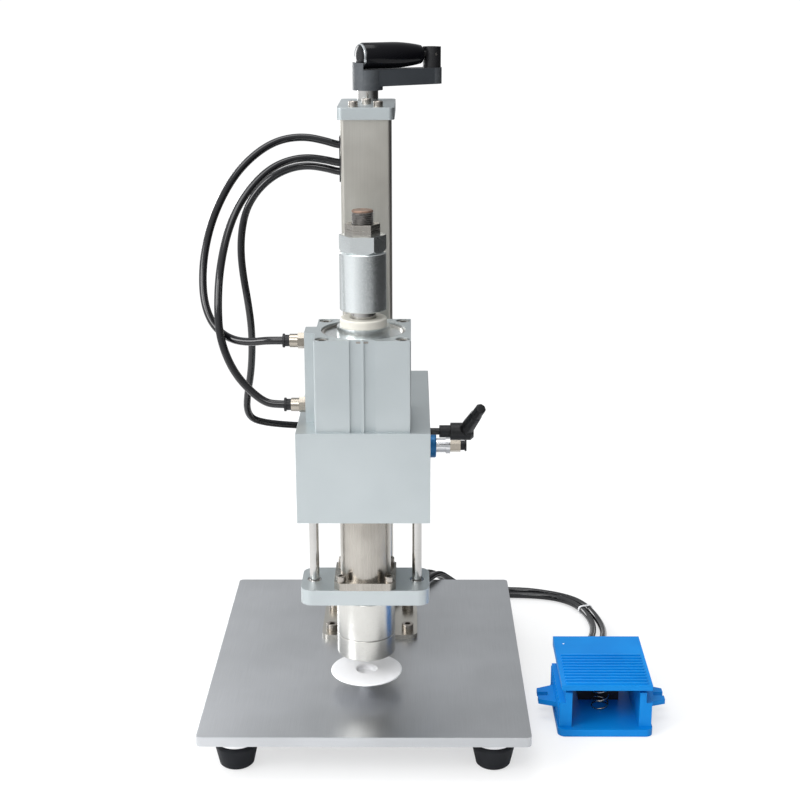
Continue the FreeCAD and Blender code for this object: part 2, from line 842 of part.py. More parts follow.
def carriage_block():
    """The aluminium block that slides on the column and carries the cylinder."""
    body = new_body("carriage_block", ("0", "0", BLOCK_BOTTOM))
    sides = oblong("-block_width / 2", "block_width / 2", "-block_front", "block_back")
    pad(body, outline(body, "block_outline", "XY_Plane", sides), "block_height")
    half = "(column_width / 2 + slide_clear)"
    way = oblong(f"-{half}", half, f"column_setback - {half}", f"column_setback + {half}")
    cut(body, outline(body, "column_way", "XY_Plane", way))
    cut(body, circles(body, "ram_way", "XY_Plane", [("0", "0", "ram_radius + running_clear")]))
    bores = [(f"{side} * guide_spread", "0", "bush_radius") for side in (-1, 1)]
    cut(body, circles(body, "guide_bores", "XY_Plane", bores), "guide_length - ram_reach + 4", upward=True)
    taps = [(x, y, "tie_hole_radius - 0.44") for x, y in tie_spots()]
    cut(body, circles(body, "block_taps", "XY_Plane", taps, "block_height"), "tie_tap_depth")
    spot = ("column_setback", "clamp_rise", "clamp_stud_radius + running_clear")
    cut(body, circles(body, "clamp_hole", "YZ_Plane", [spot], "block_width / 2"),
        "block_width / 2 - column_width / 2")
    spot = ("column_setback", "clamp_rise", "clamp_pad_radius + running_clear")
    cut(body, circles(body, "pad_pocket", "YZ_Plane", [spot], "column_width / 2"),
        "clamp_pad_thick + 1", upward=True)
    keep(body, "carriage_block")


def tie_spots():
    """The four cylinder screws."""
    return [(f"{x} * tie_spread", f"{y} * tie_spread") for x in (-1, 1) for y in (-1, 1)]


def lifting_nut():
    """The bracket behind the block and its flanged bronze nut."""
    level = f"{BLOCK_BOTTOM} + block_height / 2"
    body = new_body("nut_bracket", ("0", "0", level))
    half = "nut_width / 2"
    sides = oblong(f"-{half}", half, "block_back", "screw_setback + nut_back")
    pad(body, outline(body, "bracket_outline", "XY_Plane", sides), "nut_thick")
    cut(body, circles(body, "bracket_bore", "XY_Plane", [("0", "screw_setback", "nut_radius")]))
    keep(body, "nut_bracket")
    bore = "screw_radius + running_clear"
    profile = [
        (bore, "nut_collar_thick - nut_length"),
        ("nut_radius", "nut_collar_thick - nut_length"),
        ("nut_radius", "0"),
        ("nut_collar_radius", "0"),
        ("nut_collar_radius", "nut_collar_thick"),
        (bore, "nut_collar_thick"),
    ]
    keep(turned("lead_nut", profile, ("0", "screw_setback", f"{level} + nut_thick")), "lead_nut")


def guide_bushes():
    """Two bronze bushes in the block for the guide rods."""
    bushes = [
        turned(f"guide_bush_{n}",
               pipe("guide_radius + running_clear", "bush_radius", "0", "bush_length"),
               (f"{side} * guide_spread", "0", BLOCK_BOTTOM))
        for n, side in enumerate((-1, 1), start=1)
    ]
    group("guide_bushes", bushes)


def cylinder_barrel():
    """The square cylinder body, with its slotted faces and its port rib."""
    body = new_body("cylinder_barrel", ("0", "0", BLOCK_TOP))
    side = "cylinder_side / 2"
    pad(body, outline(body, "barrel_outline", "XY_Plane", oblong(f"-{side}", side, f"-{side}", side)),
        "cylinder_height")
    soften(body, "cylinder_edge", is_upright)
    rib = oblong(f"-{side} - port_depth", f"-{side} + 5", "-port_width / 2", "port_width / 2")
    pad(body, outline(body, "port_rib", "XY_Plane", rib), "cylinder_height")
    inside = [
        ("0", "-1"),
        ("cover_radius", "-1"),
        ("cover_radius", "cover_thick"),
        ("bore_radius", "cover_thick"),
        ("bore_radius", "cylinder_height - cover_recess"),
        ("cover_radius", "cylinder_height - cover_recess"),
        ("cover_radius", "cylinder_height - cover_recess + cover_thick"),
        ("cover_radius + snap_depth", "cylinder_height - cover_recess + cover_thick"),
        ("cover_radius + snap_depth", "cylinder_height - cover_recess + cover_thick + snap_thick"),
        ("cover_radius", "cylinder_height - cover_recess + cover_thick + snap_thick"),
        ("cover_radius", "cylinder_height + 1"),
        ("0", "cylinder_height + 1"),
    ]
    groove = body.newObject("PartDesign::Groove", "barrel_bore")
    groove.Profile = outline(body, "barrel_inside", "XZ_Plane", inside)
    groove.ReferenceAxis = (groove.Profile[0], ["V_Axis"])
    groove.Angle = 360
    near = "channel_rib / 2"
    far = "channel_width / 2"
    depth = f"({side} - channel_depth)"
    for number, (first, last) in enumerate(((f"-{far}", f"-{near}"), (near, far)), start=1):
        front = oblong(first, last, f"-{side} - 1", f"-{depth}")
        cut(body, outline(body, f"front_channel_{number}", "XY_Plane", front))
        back = oblong(first, last, depth, f"{side} + 1")
        cut(body, outline(body, f"back_channel_{number}", "XY_Plane", back))
    holes = [(x, y, "tie_hole_radius") for x, y in tie_spots()]
    cut(body, circles(body, "tie_holes", "XY_Plane", holes))
    sinks = [(x, y, "tie_sink_radius") for x, y in tie_spots()]
    cut(body, circles(body, "tie_sinks", "XY_Plane", sinks, "cylinder_height"), "tie_sink_depth")
    keep(body, "cylinder_barrel")


def cylinder_covers():
    """The covers at both ends: the upper one has the collar, the lower one passes the rod."""
    bore = "rod_radius + running_clear"
    upper = [
        (bore, "0"),
        ("cover_radius - 0.05", "0"),
        ("cover_radius - 0.05", "cover_thick"),
        ("collar_radius", "cover_thick"),
        ("collar_radius", "cover_recess + collar_height"),
        (bore, "cover_recess + collar_height"),
    ]
    lower = pipe(bore, "cover_radius - 0.05", "0", "cover_thick")
    group("cylinder_covers", [
        turned("upper_cover", upper, ("0", "0", f"{CYLINDER_TOP} - cover_recess")),
        turned("lower_cover", lower, ("0", "0", BLOCK_TOP)),
    ])


def snap_ring():
    """The ring that holds the upper cover in its groove."""
    inner = "cover_radius - snap_width"
    outer = "cover_radius + snap_depth - 0.2"
    level = f"{CYLINDER_TOP} - cover_recess + cover_thick"
    keep(turned("snap_ring", pipe(inner, outer, "0", "snap_thick"), ("0", "0", level)), "snap_ring")


def cylinder_screws():
    """Four long screws from the cylinder's top into the block."""
    screws = [
        socket_screw(f"cylinder_screw_{n}", "tie_hole_radius - 0.5",
                     "cylinder_height - tie_sink_depth + tie_tap_depth - tap_spare",
                     "tie_head_radius", "tie_head_height",
                     (x, y, f"{CYLINDER_TOP} - tie_sink_depth"))
        for n, (x, y) in enumerate(tie_spots(), start=1)
    ]
    group("cylinder_screws", screws)


def bumper_pad():
    """The pale ring that the stroke stop comes down on."""
    profile = [
        ("rod_radius + 0.5", "0"),
        ("pad_radius", "0"),
        ("pad_radius", "pad_thick - 1.2"),
        ("pad_radius - 1.2", "pad_thick"),
        ("rod_radius + 0.5", "pad_thick"),
    ]
    keep(turned("bumper_pad", profile, ("0", "0", COLLAR_TOP)), "bumper_pad")


def fitting(name, at, turn):
    """A push-in hose fitting: a nickel hexagon and body with its release ring, the hose at its end."""
    body = new_body(name, at, turn)
    pad(body, outline(body, name + "_hex", "XY_Plane", hexagon("fitting_hex")), "fitting_hex_length")
    start = "fitting_hex_length"
    shell = circles(body, name + "_shell", "XY_Plane", [("0", "0", "fitting_radius")], start)
    pad(body, shell, "fitting_body")
    neck = circles(body, name + "_neck", "XY_Plane", [("0", "0", "release_radius")],
                   f"{start} + fitting_body")
    pad(body, neck, "release_out - 2")
    level = f"{start} + fitting_body + release_out - 2"
    rim = circles(body, name + "_rim", "XY_Plane", [("0", "0", "release_flange_radius")], level)
    pad(body, rim, "2")
    mouth = circles(body, name + "_bore", "XY_Plane", [("0", "0", "hose_radius + hose_bore_clear")],
                    f"{start} + fitting_body + release_out")
    cut(body, mouth, "fitting_bore")
    return body


PORT_X = "-(cylinder_side / 2 + port_depth)"
VALVE_Y = "(block_back + valve_setback)"
VALVE_Z = f"({BLOCK_BOTTOM} - valve_drop)"


def supply_fitting():
    """The open fitting where the air supply plugs in: it holds a loose release ring."""
    body = new_body("supply_fitting", ("valve_right", VALVE_Y, VALVE_Z), TO_RIGHT)
    pad(body, outline(body, "supply_hex", "XY_Plane", hexagon("fitting_hex")),
        "fitting_hex_length + supply_extra")
    bore = circles(body, "supply_bore", "XY_Plane",
                   [("0", "0", "release_radius + running_clear")], "fitting_hex_length + supply_extra")
    cut(body, bore, "fitting_hex_length + 2")
    return body


def push_in_fittings():
    """The hose fittings of the carriage."""
    outlet_y = f"{VALVE_Y} + valve_radius - outlet_flat_depth"
    group("push_in_fittings", [
        fitting("upper_fitting", (PORT_X, "0", f"{CYLINDER_TOP} - port_inset"), TO_LEFT),
        fitting("lower_fitting", (PORT_X, "0", f"{BLOCK_TOP} + port_inset + port_lift"), TO_LEFT),
        fitting("outlet_fitting", ("valve_left + outlet_in", outlet_y, VALVE_Z), TO_BACK),
        supply_fitting(),
    ])


def slide_valve():
    """The hand valve clipped behind the block: its body, and the sliding blue sleeve."""
    inner = "hose_radius"
    end = "valve_right - valve_left"
    profile = [
        (inner, "0"),
        ("valve_radius", "0"),
        ("valve_radius", f"{end} - valve_ring"),
        ("valve_ring_radius", f"{end} - valve_ring"),
        ("valve_ring_radius", end),
        (inner, end),
    ]
    body = turned("valve_body", profile, ("valve_left", VALVE_Y, VALVE_Z), TO_RIGHT)
    lugs = oblong("-clip_height / 2", "clip_height / 2", "-valve_setback", "-valve_radius + 3")
    clip = outline(body, "valve_clip", "XY_Plane", lugs, "clip_left - valve_left")
    pad(body, clip, "clip_width")
    port = circles(body, "outlet_flat", "XZ_Plane",
                   [("0", "outlet_in", "fitting_hex / sqrt(3) + hose_bore_clear")],
                   "-valve_radius + outlet_flat_depth")
    cut(body, port, "3")
    keep(body, "valve_body")
    sleeve = [
        ("valve_radius + running_clear", "0"),
        ("slider_radius - 1", "0"),
        ("slider_radius", "1"),
        ("slider_radius", "slider_length - 1"),
        ("slider_radius - 1", "slider_length"),
        ("valve_radius + running_clear", "slider_length"),
    ]
    keep(turned("valve_sleeve", sleeve, ("slider_right - slider_length", VALVE_Y, VALVE_Z), TO_RIGHT),
         "valve_sleeve")
    ring = [
        ("hose_radius + hose_bore_clear", "-fitting_hex_length + 1.5"),
        ("release_radius", "-fitting_hex_length + 1.5"),
        ("release_radius", "release_out - 2"),
        ("release_flange_radius", "release_out - 2"),
        ("release_flange_radius", "release_out"),
        ("hose_radius + hose_bore_clear", "release_out"),
    ]
    keep(turned("release_ring", ring,
                ("valve_right + fitting_hex_length + supply_extra", VALVE_Y, VALVE_Z), TO_RIGHT),
         "release_ring")


def piston_and_rod():
    """The piston with the through rod, threaded above for the stroke stop."""
    profile = pipe("rod_radius", "bore_radius - running_clear", "-piston_thick", "0")
    keep(turned("piston", profile, ("0", "0", PISTON_TOP)), "piston")
    rod = [
        ("0", "-rod_screwed_in"),
        ("thread_radius - 1", "-rod_screwed_in"),
        ("thread_radius", "1 - rod_screwed_in"),
        ("thread_radius", "0"),
        ("rod_radius", "0"),
        ("rod_radius", f"{SLEEVE_BOTTOM} - {RAM_TOP}"),
        ("thread_radius", f"{SLEEVE_BOTTOM} - {RAM_TOP}"),
        ("thread_radius", f"{THREAD_TOP} - {RAM_TOP} - 1.5"),
        ("thread_radius - 1.5", f"{THREAD_TOP} - {RAM_TOP}"),
        ("0", f"{THREAD_TOP} - {RAM_TOP}"),
    ]
    keep(turned("piston_rod", rod, ("0", "0", RAM_TOP)), "piston_rod")


def stroke_stop():
    """The screwed sleeve that sets the stroke, and the two nuts that lock it."""
    profile = pipe("thread_radius", "sleeve_radius", "0", "sleeve_length")
    body = turned("stop_sleeve", profile, ("0", "0", SLEEVE_BOTTOM))
    pad(body, outline(body, "sleeve_hexagon", "XY_Plane", hexagon("sleeve_hex"), "sleeve_length"),
        "sleeve_hex_height")
    bore = circles(body, "sleeve_bore", "XY_Plane", [("0", "0", "thread_radius")], "sleeve_length")
    cut(body, bore, "sleeve_hex_height", upward=True)
    keep(body, "stop_sleeve")
    nuts = [
        hex_nut(f"jam_nut_{n}", "jam_hex", "thread_radius", "jam_thick - 0.2",
                ("0", "0", f"{SLEEVE_TOP} + {n - 1} * jam_thick"))
        for n in (1, 2)
    ]
    group("jam_nuts", nuts)


def ram_tube():
    """The thick ram in the block's bore, with its square flange below."""
    body = new_body("ram_tube", ("0", "0", TOOL_TOP))
    side = "ram_flange_side / 2"
    clip = "ram_flange_clip"
    corners = []
    for x, y in ((1, 1), (-1, 1), (-1, -1), (1, -1)):
        near = (f"{x} * ({side} - {clip})", f"{y} * {side}")
        far = (f"{x} * {side}", f"{y} * ({side} - {clip})")
        corners.extend((far, near) if x * y > 0 else (near, far))
    pad(body, outline(body, "ram_flange", "XY_Plane", corners), "ram_flange_thick")
    pad(body, circles(body, "ram_round", "XY_Plane", [("0", "0", "ram_radius")]), f"{RAM_TOP} - {TOOL_TOP}")
    bore = circles(body, "ram_bore", "XY_Plane", [("0", "0", "thread_radius")], f"{RAM_TOP} - {TOOL_TOP}")
    cut(body, bore, "rod_screwed_in + 1")
    holes = [(x, y, "stud_radius * 0.75") for x, y in ram_spots()]
    cut(body, circles(body, "ram_holes", "XY_Plane", holes))
    keep(body, "ram_tube")


def ram_spots():
    """The four screws of the ram's flange."""
    return [(f"{x} * ram_screw_spread", f"{y} * ram_screw_spread") for x in (-1, 1) for y in (-1, 1)]


def ram_flange_screws():
    """The screws that hold the tool plate to the ram."""
    screws = [
        socket_screw(f"ram_screw_{n}", "stud_radius * 0.75", "ram_flange_thick + tool_thick - 3",
                     "stud_radius * 1.25", "stud_radius * 1.5", (x, y, f"{TOOL_TOP} + ram_flange_thick"))
        for n, (x, y) in enumerate(ram_spots(), start=1)
    ]
    group("ram_flange_screws", screws)


def tool_plate():
    """The plate that carries the head and the two guide rods."""
    body = new_body("tool_plate", ("0", "0", TOOL_BOTTOM))
    wide = "tool_width / 2"
    deep = "tool_depth / 2"
    pad(body, outline(body, "tool_outline", "XY_Plane", oblong(f"-{wide}", wide, f"-{deep}", deep)),
        "tool_thick")
    soften(body, "tool_corner", is_upright)
    rods = [(f"{side} * guide_spread", "0", "guide_radius") for side in (-1, 1)]
    cut(body, circles(body, "rod_seats", "XY_Plane", rods, "tool_thick"), "tool_thick - 3")
    sinks = [(f"{side} * guide_spread", "0", "guide_collar_radius") for side in (-1, 1)]
    cut(body, circles(body, "rod_sinks", "XY_Plane", sinks, "tool_thick"), "guide_collar_height")
    taps = [(x, y, "stud_radius * 0.75") for x, y in ram_spots()]
    cut(body, circles(body, "tool_taps", "XY_Plane", taps, "tool_thick"), "tool_thick - 3")
    keep(body, "tool_plate")


def guide_rods():
    """Two chromed rods that keep the tool plate from turning."""
    foot = "3 - tool_thick"
    profile = [
        ("0", foot),
        ("guide_radius", foot),
        ("guide_radius", "-guide_collar_height"),
        ("guide_collar_radius - 0.3", "-guide_collar_height"),
        ("guide_collar_radius - 0.3", "-0.5"),
        ("guide_radius", "-0.5"),
        ("guide_radius", "guide_length - 1"),
        ("guide_radius - 1", "guide_length"),
        ("0", "guide_length"),
    ]
    rods = [
        turned(f"guide_rod_{n}", profile, (f"{side} * guide_spread", "0", TOOL_TOP))
        for n, side in enumerate((-1, 1), start=1)
    ]
    group("guide_rods", rods)


def crimp_head():
    """The head's body, its closing ring and the slit collet inside."""
    body = [
        ("chamber_radius", "0"),
        ("head_radius - 0.6", "0"),
        ("head_radius", "0.6"),
        ("head_radius", "head_height - 1"),
        ("head_radius - 1", "head_height"),
        ("0", "head_height"),
        ("0", "chamber_height"),
        ("chamber_radius", "chamber_height"),
    ]
    keep(turned("head_body", body, ("0", "0", HEAD_BOTTOM)), "head_body")
    ring = [
        ("ring_bore_radius", "0"),
        ("head_radius - 1.5", "0"),
        ("head_radius", "1.5"),
        ("head_radius", "ring_height - 0.6"),
        ("head_radius - 0.6", "ring_height"),
        ("ring_bore_radius", "ring_height"),
    ]
    keep(turned("closing_ring", ring, ("0", "0", RING_BOTTOM)), "closing_ring")
    jaws = [
        ("collet_bore_radius", "0"),
        ("ring_bore_radius - 1.5", "0"),
        ("ring_bore_radius", "3"),
        ("ring_bore_radius", "collet_height"),
        ("collet_bore_radius", "collet_height"),
    ]
    collet = turned("collet", jaws, ("0", "0", f"{RING_BOTTOM} + 1"))
    slit = "collet_slit / 2"
    long = "ring_bore_radius + 1"
    for number, turn in enumerate((0, 60, 120), start=1):
        c = round(math.cos(math.radians(turn)), 6)
        s = round(math.sin(math.radians(turn)), 6)
        corners = [
            (f"{a} * ({long}) * {c} - {b} * {slit} * {s}", f"{a} * ({long}) * {s} + {b} * {slit} * {c}")
            for a, b in ((-1, -1), (1, -1), (1, 1), (-1, 1))
        ]
        cut(collet, outline(collet, f"collet_slit_{number}", "XY_Plane", corners),
            "collet_height - collet_web", upward=True)
    keep(collet, "collet")


def presser():
    """The sprung presser that meets the cap first, and its spring."""
    profile = [
        ("0", "0"),
        ("presser_radius - 0.6", "0"),
        ("presser_radius", "0.6"),
        ("presser_radius", "ring_height - presser_sink"),
        ("presser_collar_radius", "ring_height - presser_sink"),
        ("presser_collar_radius", "ring_height - presser_sink + presser_collar_thick"),
        ("presser_radius", "ring_height - presser_sink + presser_collar_thick"),
        ("presser_radius", "ring_height - presser_sink + chamber_height - presser_travel - 1"),
        ("0", "ring_height - presser_sink + chamber_height - presser_travel - 1"),
    ]
    body = turned("presser", profile, ("0", "0", f"{RING_BOTTOM} + presser_sink"))
    keep(body, "presser")
    coil = pipe("spring_radius - spring_wire", "spring_radius", "presser_collar_thick", "chamber_height")
    keep(turned("presser_spring", coil, ("0", "0", HEAD_BOTTOM)), "presser_spring")


CLAMP_Z = f"({BLOCK_BOTTOM} + clamp_rise)"


def clamp():
    """The clamping screw: a brake pad on the column, the screw, and its lever."""
    pad_profile = [
        ("0", "0"),
        ("clamp_pad_radius", "0"),
        ("clamp_pad_radius", "clamp_pad_thick"),
        ("0", "clamp_pad_thick"),
    ]
    keep(turned("clamp_pad", pad_profile,
                ("column_width / 2 + slide_clear", "column_setback", CLAMP_Z), TO_RIGHT), "clamp_pad")
    inner = "column_width / 2 + clamp_pad_thick + 2 * slide_clear"
    stud = [
        ("0", inner),
        ("clamp_stud_radius", inner),
        ("clamp_stud_radius", "block_width / 2 + clamp_stud_out"),
        ("0", "block_width / 2 + clamp_stud_out"),
    ]
    keep(turned("clamp_stud", stud, ("0", "column_setback", CLAMP_Z), TO_RIGHT), "clamp_stud")
    start = "block_width / 2 + lever_gap"
    bore = "clamp_stud_radius + running_clear"
    bore_end = "block_width / 2 + clamp_stud_out + lever_lift + 1"
    hub = [
        (bore, start),
        ("lever_neck_radius", start),
        ("lever_neck_radius", f"{start} + lever_neck"),
        ("lever_hub_radius", f"{start} + lever_neck"),
        ("lever_hub_radius", f"{start} + lever_neck + lever_hub - 2"),
        ("lever_hub_radius - 2", f"{start} + lever_neck + lever_hub"),
        ("0", f"{start} + lever_neck + lever_hub"),
        ("0", bore_end),
        (bore, bore_end),
    ]
    knob = turned("lever_hub", hub, ("0", "column_setback", CLAMP_Z), TO_RIGHT)
    DOC.recompute()
    root = FreeCAD.Vector(size("block_width") / 2 + size("lever_gap") + size("lever_neck")
                          + size("lever_hub") - size("lever_hub_radius"),
                          size("column_setback"), knob.Placement.Base.z)
    tip = FreeCAD.Vector(size("block_width") / 2 + size("lever_gap") + size("lever_tip_out"),
                         size("column_setback") - size("lever_tip_near"),
                         knob.Placement.Base.z + size("lever_tip_up"))
    way = tip - root
    arm = DOC.addObject("Part::Cone", "lever_arm")
    arm.Placement = FreeCAD.Placement(root, FreeCAD.Rotation(FreeCAD.Vector(0, 0, 1), way))
    arm.Height = way.Length
    bind(arm, "Radius1", "lever_root_radius")
    bind(arm, "Radius2", "lever_tip_radius")
    lever = DOC.addObject("Part::MultiFuse", "clamp_lever")
    lever.Shapes = [knob, arm]
    keep(lever, "clamp_lever")


# The foot valve: its bodies stand at pedal_x, so their own X is measured from its centre line

def pedal_base():
    """The blue base: a floor, two side walls that carry the hinge, and two slotted ears."""
    body = new_body("pedal_base", ("pedal_x", "0", "0"))
    half = "pedal_width / 2"
    floor = oblong(f"-{half}", half, "-pedal_front", "pedal_back")
    pad(body, outline(body, "pedal_floor", "XY_Plane", floor), "pedal_floor")
    soften(body, "pedal_corner", is_upright)
    ear_tip = "(pedal_width / 2 + ear_out)"
    root = "(pedal_width / 2 - pedal_wall_inset - 1)"
    slot_low = "((ear_tip_front + ear_tip_back) / 2 - ear_slot / 2)"
    slot_high = "((ear_tip_front + ear_tip_back) / 2 + ear_slot / 2)"
    for number, side in enumerate((-1, 1), start=1):
        ear = [
            (f"{side} * {root}", "ear_root_front"),
            (f"{side} * {ear_tip}", "ear_tip_front"),
            (f"{side} * {ear_tip}", slot_low),
            (f"{side} * ({ear_tip} - ear_slot_depth)", slot_low),
            (f"{side} * ({ear_tip} - ear_slot_depth)", slot_high),
            (f"{side} * {ear_tip}", slot_high),
            (f"{side} * {ear_tip}", "ear_tip_back"),
            (f"{side} * {root}", "ear_root_back"),
        ]
        outer = "(pedal_width / 2 - pedal_wall_inset)"
        inner = "(pedal_width / 2 - pedal_wall_inset - pedal_wall)"
        wall = [
            ("-pedal_front + pedal_wall_setback", "pedal_floor - 1"),
            ("pedal_back", "pedal_floor - 1"),
            ("pedal_back", "pedal_wall_back_z"),
            ("-pedal_front + pedal_wall_setback", "pedal_wall_front_z"),
        ]
        level = inner if side > 0 else f"-{outer}"
        pad(body, outline(body, f"pedal_wall_{number}", "YZ_Plane", wall, level), "pedal_wall")
        near, far = f"{side} * ({outer} - 1)", f"{side} * ({half} - curb_inset)"
        curb = oblong(near, far, "-pedal_front + pedal_wall_setback", "pedal_back - pedal_corner")
        base_curb = outline(body, f"pedal_curb_{number}", "XY_Plane", curb, "pedal_floor - 1")
        pad(body, base_curb, "curb_height + 1")
        pad(body, outline(body, f"pedal_ear_{number}", "XY_Plane", ear, "ear_level"), "ear_thick")
    pin = [("hinge_setback", "hinge_z", "hinge_radius")]
    cut(body, circles(body, "pedal_pin_hole", "YZ_Plane", pin))
    keep(body, "pedal_base")


def pedal_treadle():
    """The treadle: a sloping shell with its lip, skirts and hinge knuckles."""
    body = new_body("pedal_treadle", ("pedal_x", "0", "0"))
    half = "(treadle_width / 2)"
    side = [
        ("-pedal_front", "treadle_front_z - treadle_lip"),
        ("pedal_back - 2", "treadle_front_z - treadle_lip + 2"),
        ("pedal_back - 2", "treadle_back_z"),
        ("-pedal_front", "treadle_front_z"),
    ]
    pad(body, outline(body, "treadle_side", "YZ_Plane", side), "treadle_width", both_ways=True)
    hollow = [
        ("-pedal_front + treadle_skirt", "treadle_front_z - treadle_lip - 5"),
        ("pedal_back + 5", "treadle_front_z - treadle_lip - 5"),
        ("pedal_back + 5", "treadle_back_z - treadle_skin"),
        ("-pedal_front + treadle_skirt", "treadle_front_z - treadle_skin"),
    ]
    feature = cut(body, outline(body, "treadle_hollow", "YZ_Plane", hollow))
    feature.Type = "Length"
    bind(feature, "Length", "treadle_width - 2 * treadle_skirt")
    face = "(pedal_width / 2 - pedal_wall_inset - pedal_wall)"
    for number, sign in enumerate((-1, 1), start=1):
        near = f"({face} - knuckle_width - knuckle_gap)"
        knuckle = [
            ("hinge_setback - knuckle_radius", "hinge_z - knuckle_radius"),
            ("hinge_setback + knuckle_radius", "hinge_z - knuckle_radius"),
            ("hinge_setback + knuckle_radius", "treadle_back_z - treadle_skin + 0.5"),
            ("hinge_setback - knuckle_radius", "treadle_back_z - treadle_skin - 0.5"),
        ]
        level = near if sign > 0 else f"-{face} + knuckle_gap"
        pad(body, outline(body, f"knuckle_{number}", "YZ_Plane", knuckle, level), "knuckle_width")
    pin = [("hinge_setback", "hinge_z", "hinge_radius + running_clear")]
    cut(body, circles(body, "treadle_pin_hole", "YZ_Plane", pin))
    keep(body, "pedal_treadle")


def treadle_underside(y):
    """The level of the treadle's sloping underside at rest."""
    front = "(treadle_skirt - pedal_front)"
    slope = f"(treadle_back_z - treadle_front_z) / (pedal_back + 5 - {front})"
    return f"(treadle_front_z - treadle_skin + {slope} * ({y} - {front}))"


def pedal_inside():
    """The hinge pin, the valve block with its plunger and ports, and the return spring."""
    reach = "(pedal_width / 2 - pedal_wall_inset)"
    pin = [("0", f"-{reach}"), ("hinge_radius", f"-{reach}"), ("hinge_radius", reach), ("0", reach)]
    keep(turned("pedal_pin", pin, ("pedal_x", "hinge_setback", "hinge_z"), TO_RIGHT), "pedal_pin")
    body = new_body("pedal_valve", ("pedal_x", "0", "pedal_floor"))
    half = "valve_block_width / 2"
    block = oblong(f"-{half}", half, "valve_block_front", "valve_block_back")
    pad(body, outline(body, "valve_block", "XY_Plane", block), "valve_block_height")
    for number, side in enumerate((-1, 1), start=1):
        port = [(f"{side} * pedal_port_spread", "pedal_port_z - pedal_floor", "fitting_radius")]
        pad(body, circles(body, f"valve_port_{number}", "XZ_Plane", port,
                          "-valve_block_back - pedal_port_out"), "pedal_port_out + 1")
    bore = [("0", "plunger_y", "plunger_radius + running_clear")]
    cut(body, circles(body, "plunger_bore", "XY_Plane", bore, "valve_block_height"), "plunger_bore_depth")
    keep(body, "pedal_valve")
    start = "(pedal_floor + valve_block_height - plunger_in)"
    edge = "(plunger_radius - plunger_tip)"
    rise = f"({treadle_underside(f'(plunger_y - {edge})')} - plunger_gap - {start})"
    plunger = [
        ("0", "0"),
        ("plunger_radius", "0"),
        ("plunger_radius", f"{rise} - plunger_tip"),
        (edge, rise),
        ("0", rise),
    ]
    keep(turned("valve_plunger", plunger, ("pedal_x", "plunger_y", start)), "valve_plunger")
    top = f"{treadle_underside('(pedal_spring_y - pedal_spring_radius)')} - pedal_spring_gap"
    coil = pipe("pedal_spring_radius - pedal_spring_wire", "pedal_spring_radius", "pedal_floor", top)
    keep(turned("pedal_spring", coil, ("pedal_x", "pedal_spring_y", "0")), "pedal_spring")


# Hoses: each route is a list of points chosen along the real hose
TEE_FACE = -20.0
TIE_LEVEL = 5.4
DRAWN_COLUMN_TOP = 628
UPPER_HOSE = [
    (TEE_FACE, 151, 599), (-29, 151, 599), (-43, 151, 603.5), (-64, 150.5, 608), (-86, 147, 606.5),
    (-104, 137, 600),
    (-121, 125, 588), (-136, 111, 572), (-148.5, 97, 551), (-158, 82, 527.5), (-163.5, 67, 502),
    (-165, 54, 478), (-163, 43, 456), (-156.5, 34, 438), (-145.5, 25.5, 426), (-130, 16, 420),
    (-112, 7, 420.5), (-98, 1.5, 423.5), (-86, 0, 424), (-69, 0, 424),
]
LOWER_HOSE = [
    (TEE_FACE, 149.5, 580.5), (-29, 149.5, 580.5), (-43, 149, 584), (-63, 146, 587), (-83, 139, 584.5),
    (-101, 126, 577),
    (-118, 106, 562), (-130.5, 85, 544), (-138.5, 63, 523), (-143, 43, 500), (-145.3, 28, 477),
    (-145.6, 17.5, 452), (-144.5, 12.5, 429), (-138.5, 9, 407), (-128.5, 6.5, 387), (-114, 4, 370.5),
    (-99, 1, 359.5), (-86, 0, 358), (-69, 0, 358),
]
SUPPLY_HOSE = [
    (TEE_FACE, 153.5, 570.5), (-29, 153.5, 570.5), (-43, 154, 574.5), (-63, 154.5, 577.5),
    (-82, 155, 574.5), (-101, 155, 565.5),
    (-118, 155, 550), (-130, 154.5, 530.5), (-135.5, 154, 507), (-137, 153.5, 483), (-135, 153, 458),
    (-131, 153, 431), (-128.3, 156, 402), (-129, 163, 373.5), (-132, 171, 345), (-137.5, 178.5, 318),
    (-140, 186, 297), (-135.5, 196, 283), (-121, 209, 274.5), (-99, 222, 268), (-74, 237, 262),
    (-50, 252, 256.5), (-28, 263, 252.5), (-4, 267, 250), (13, 262, 249.5), (20.5, 250, 249.5),
    (22, 237, 249.5), (22, 219.5, 249.5),
]
FLOOR_SUPPLY_HOSE = [
    (260.5, 92, 24), (260.5, 101, 24), (262, 118, 24.5), (266.5, 142, 23.5), (273, 172, 19),
    (278.5, 203, 12.5), (280, 235, 7), (276.5, 264, TIE_LEVEL), (270, 288, TIE_LEVEL),
    (262, 306, TIE_LEVEL), (250, 322, 4.4), (234, 332.5, 4.2), (216, 340, 4.2), (198, 345.5, 4.2),
    (178, 347.5, 4.2), (157, 347.5, 4.2), (136, 347, 5), (117, 344, 9.5), (100, 337, 19), (87, 326, 31),
    (76, 311, 43.5), (66, 294, 52), (57, 276, 54), (47, 256, 53.4), (37, 237, 53.4), (27, 219, 55.5),
    (17.5, 204, 60.5), (10, 193, 65.5), (8, 184, 68), (8, 174, 68),
]
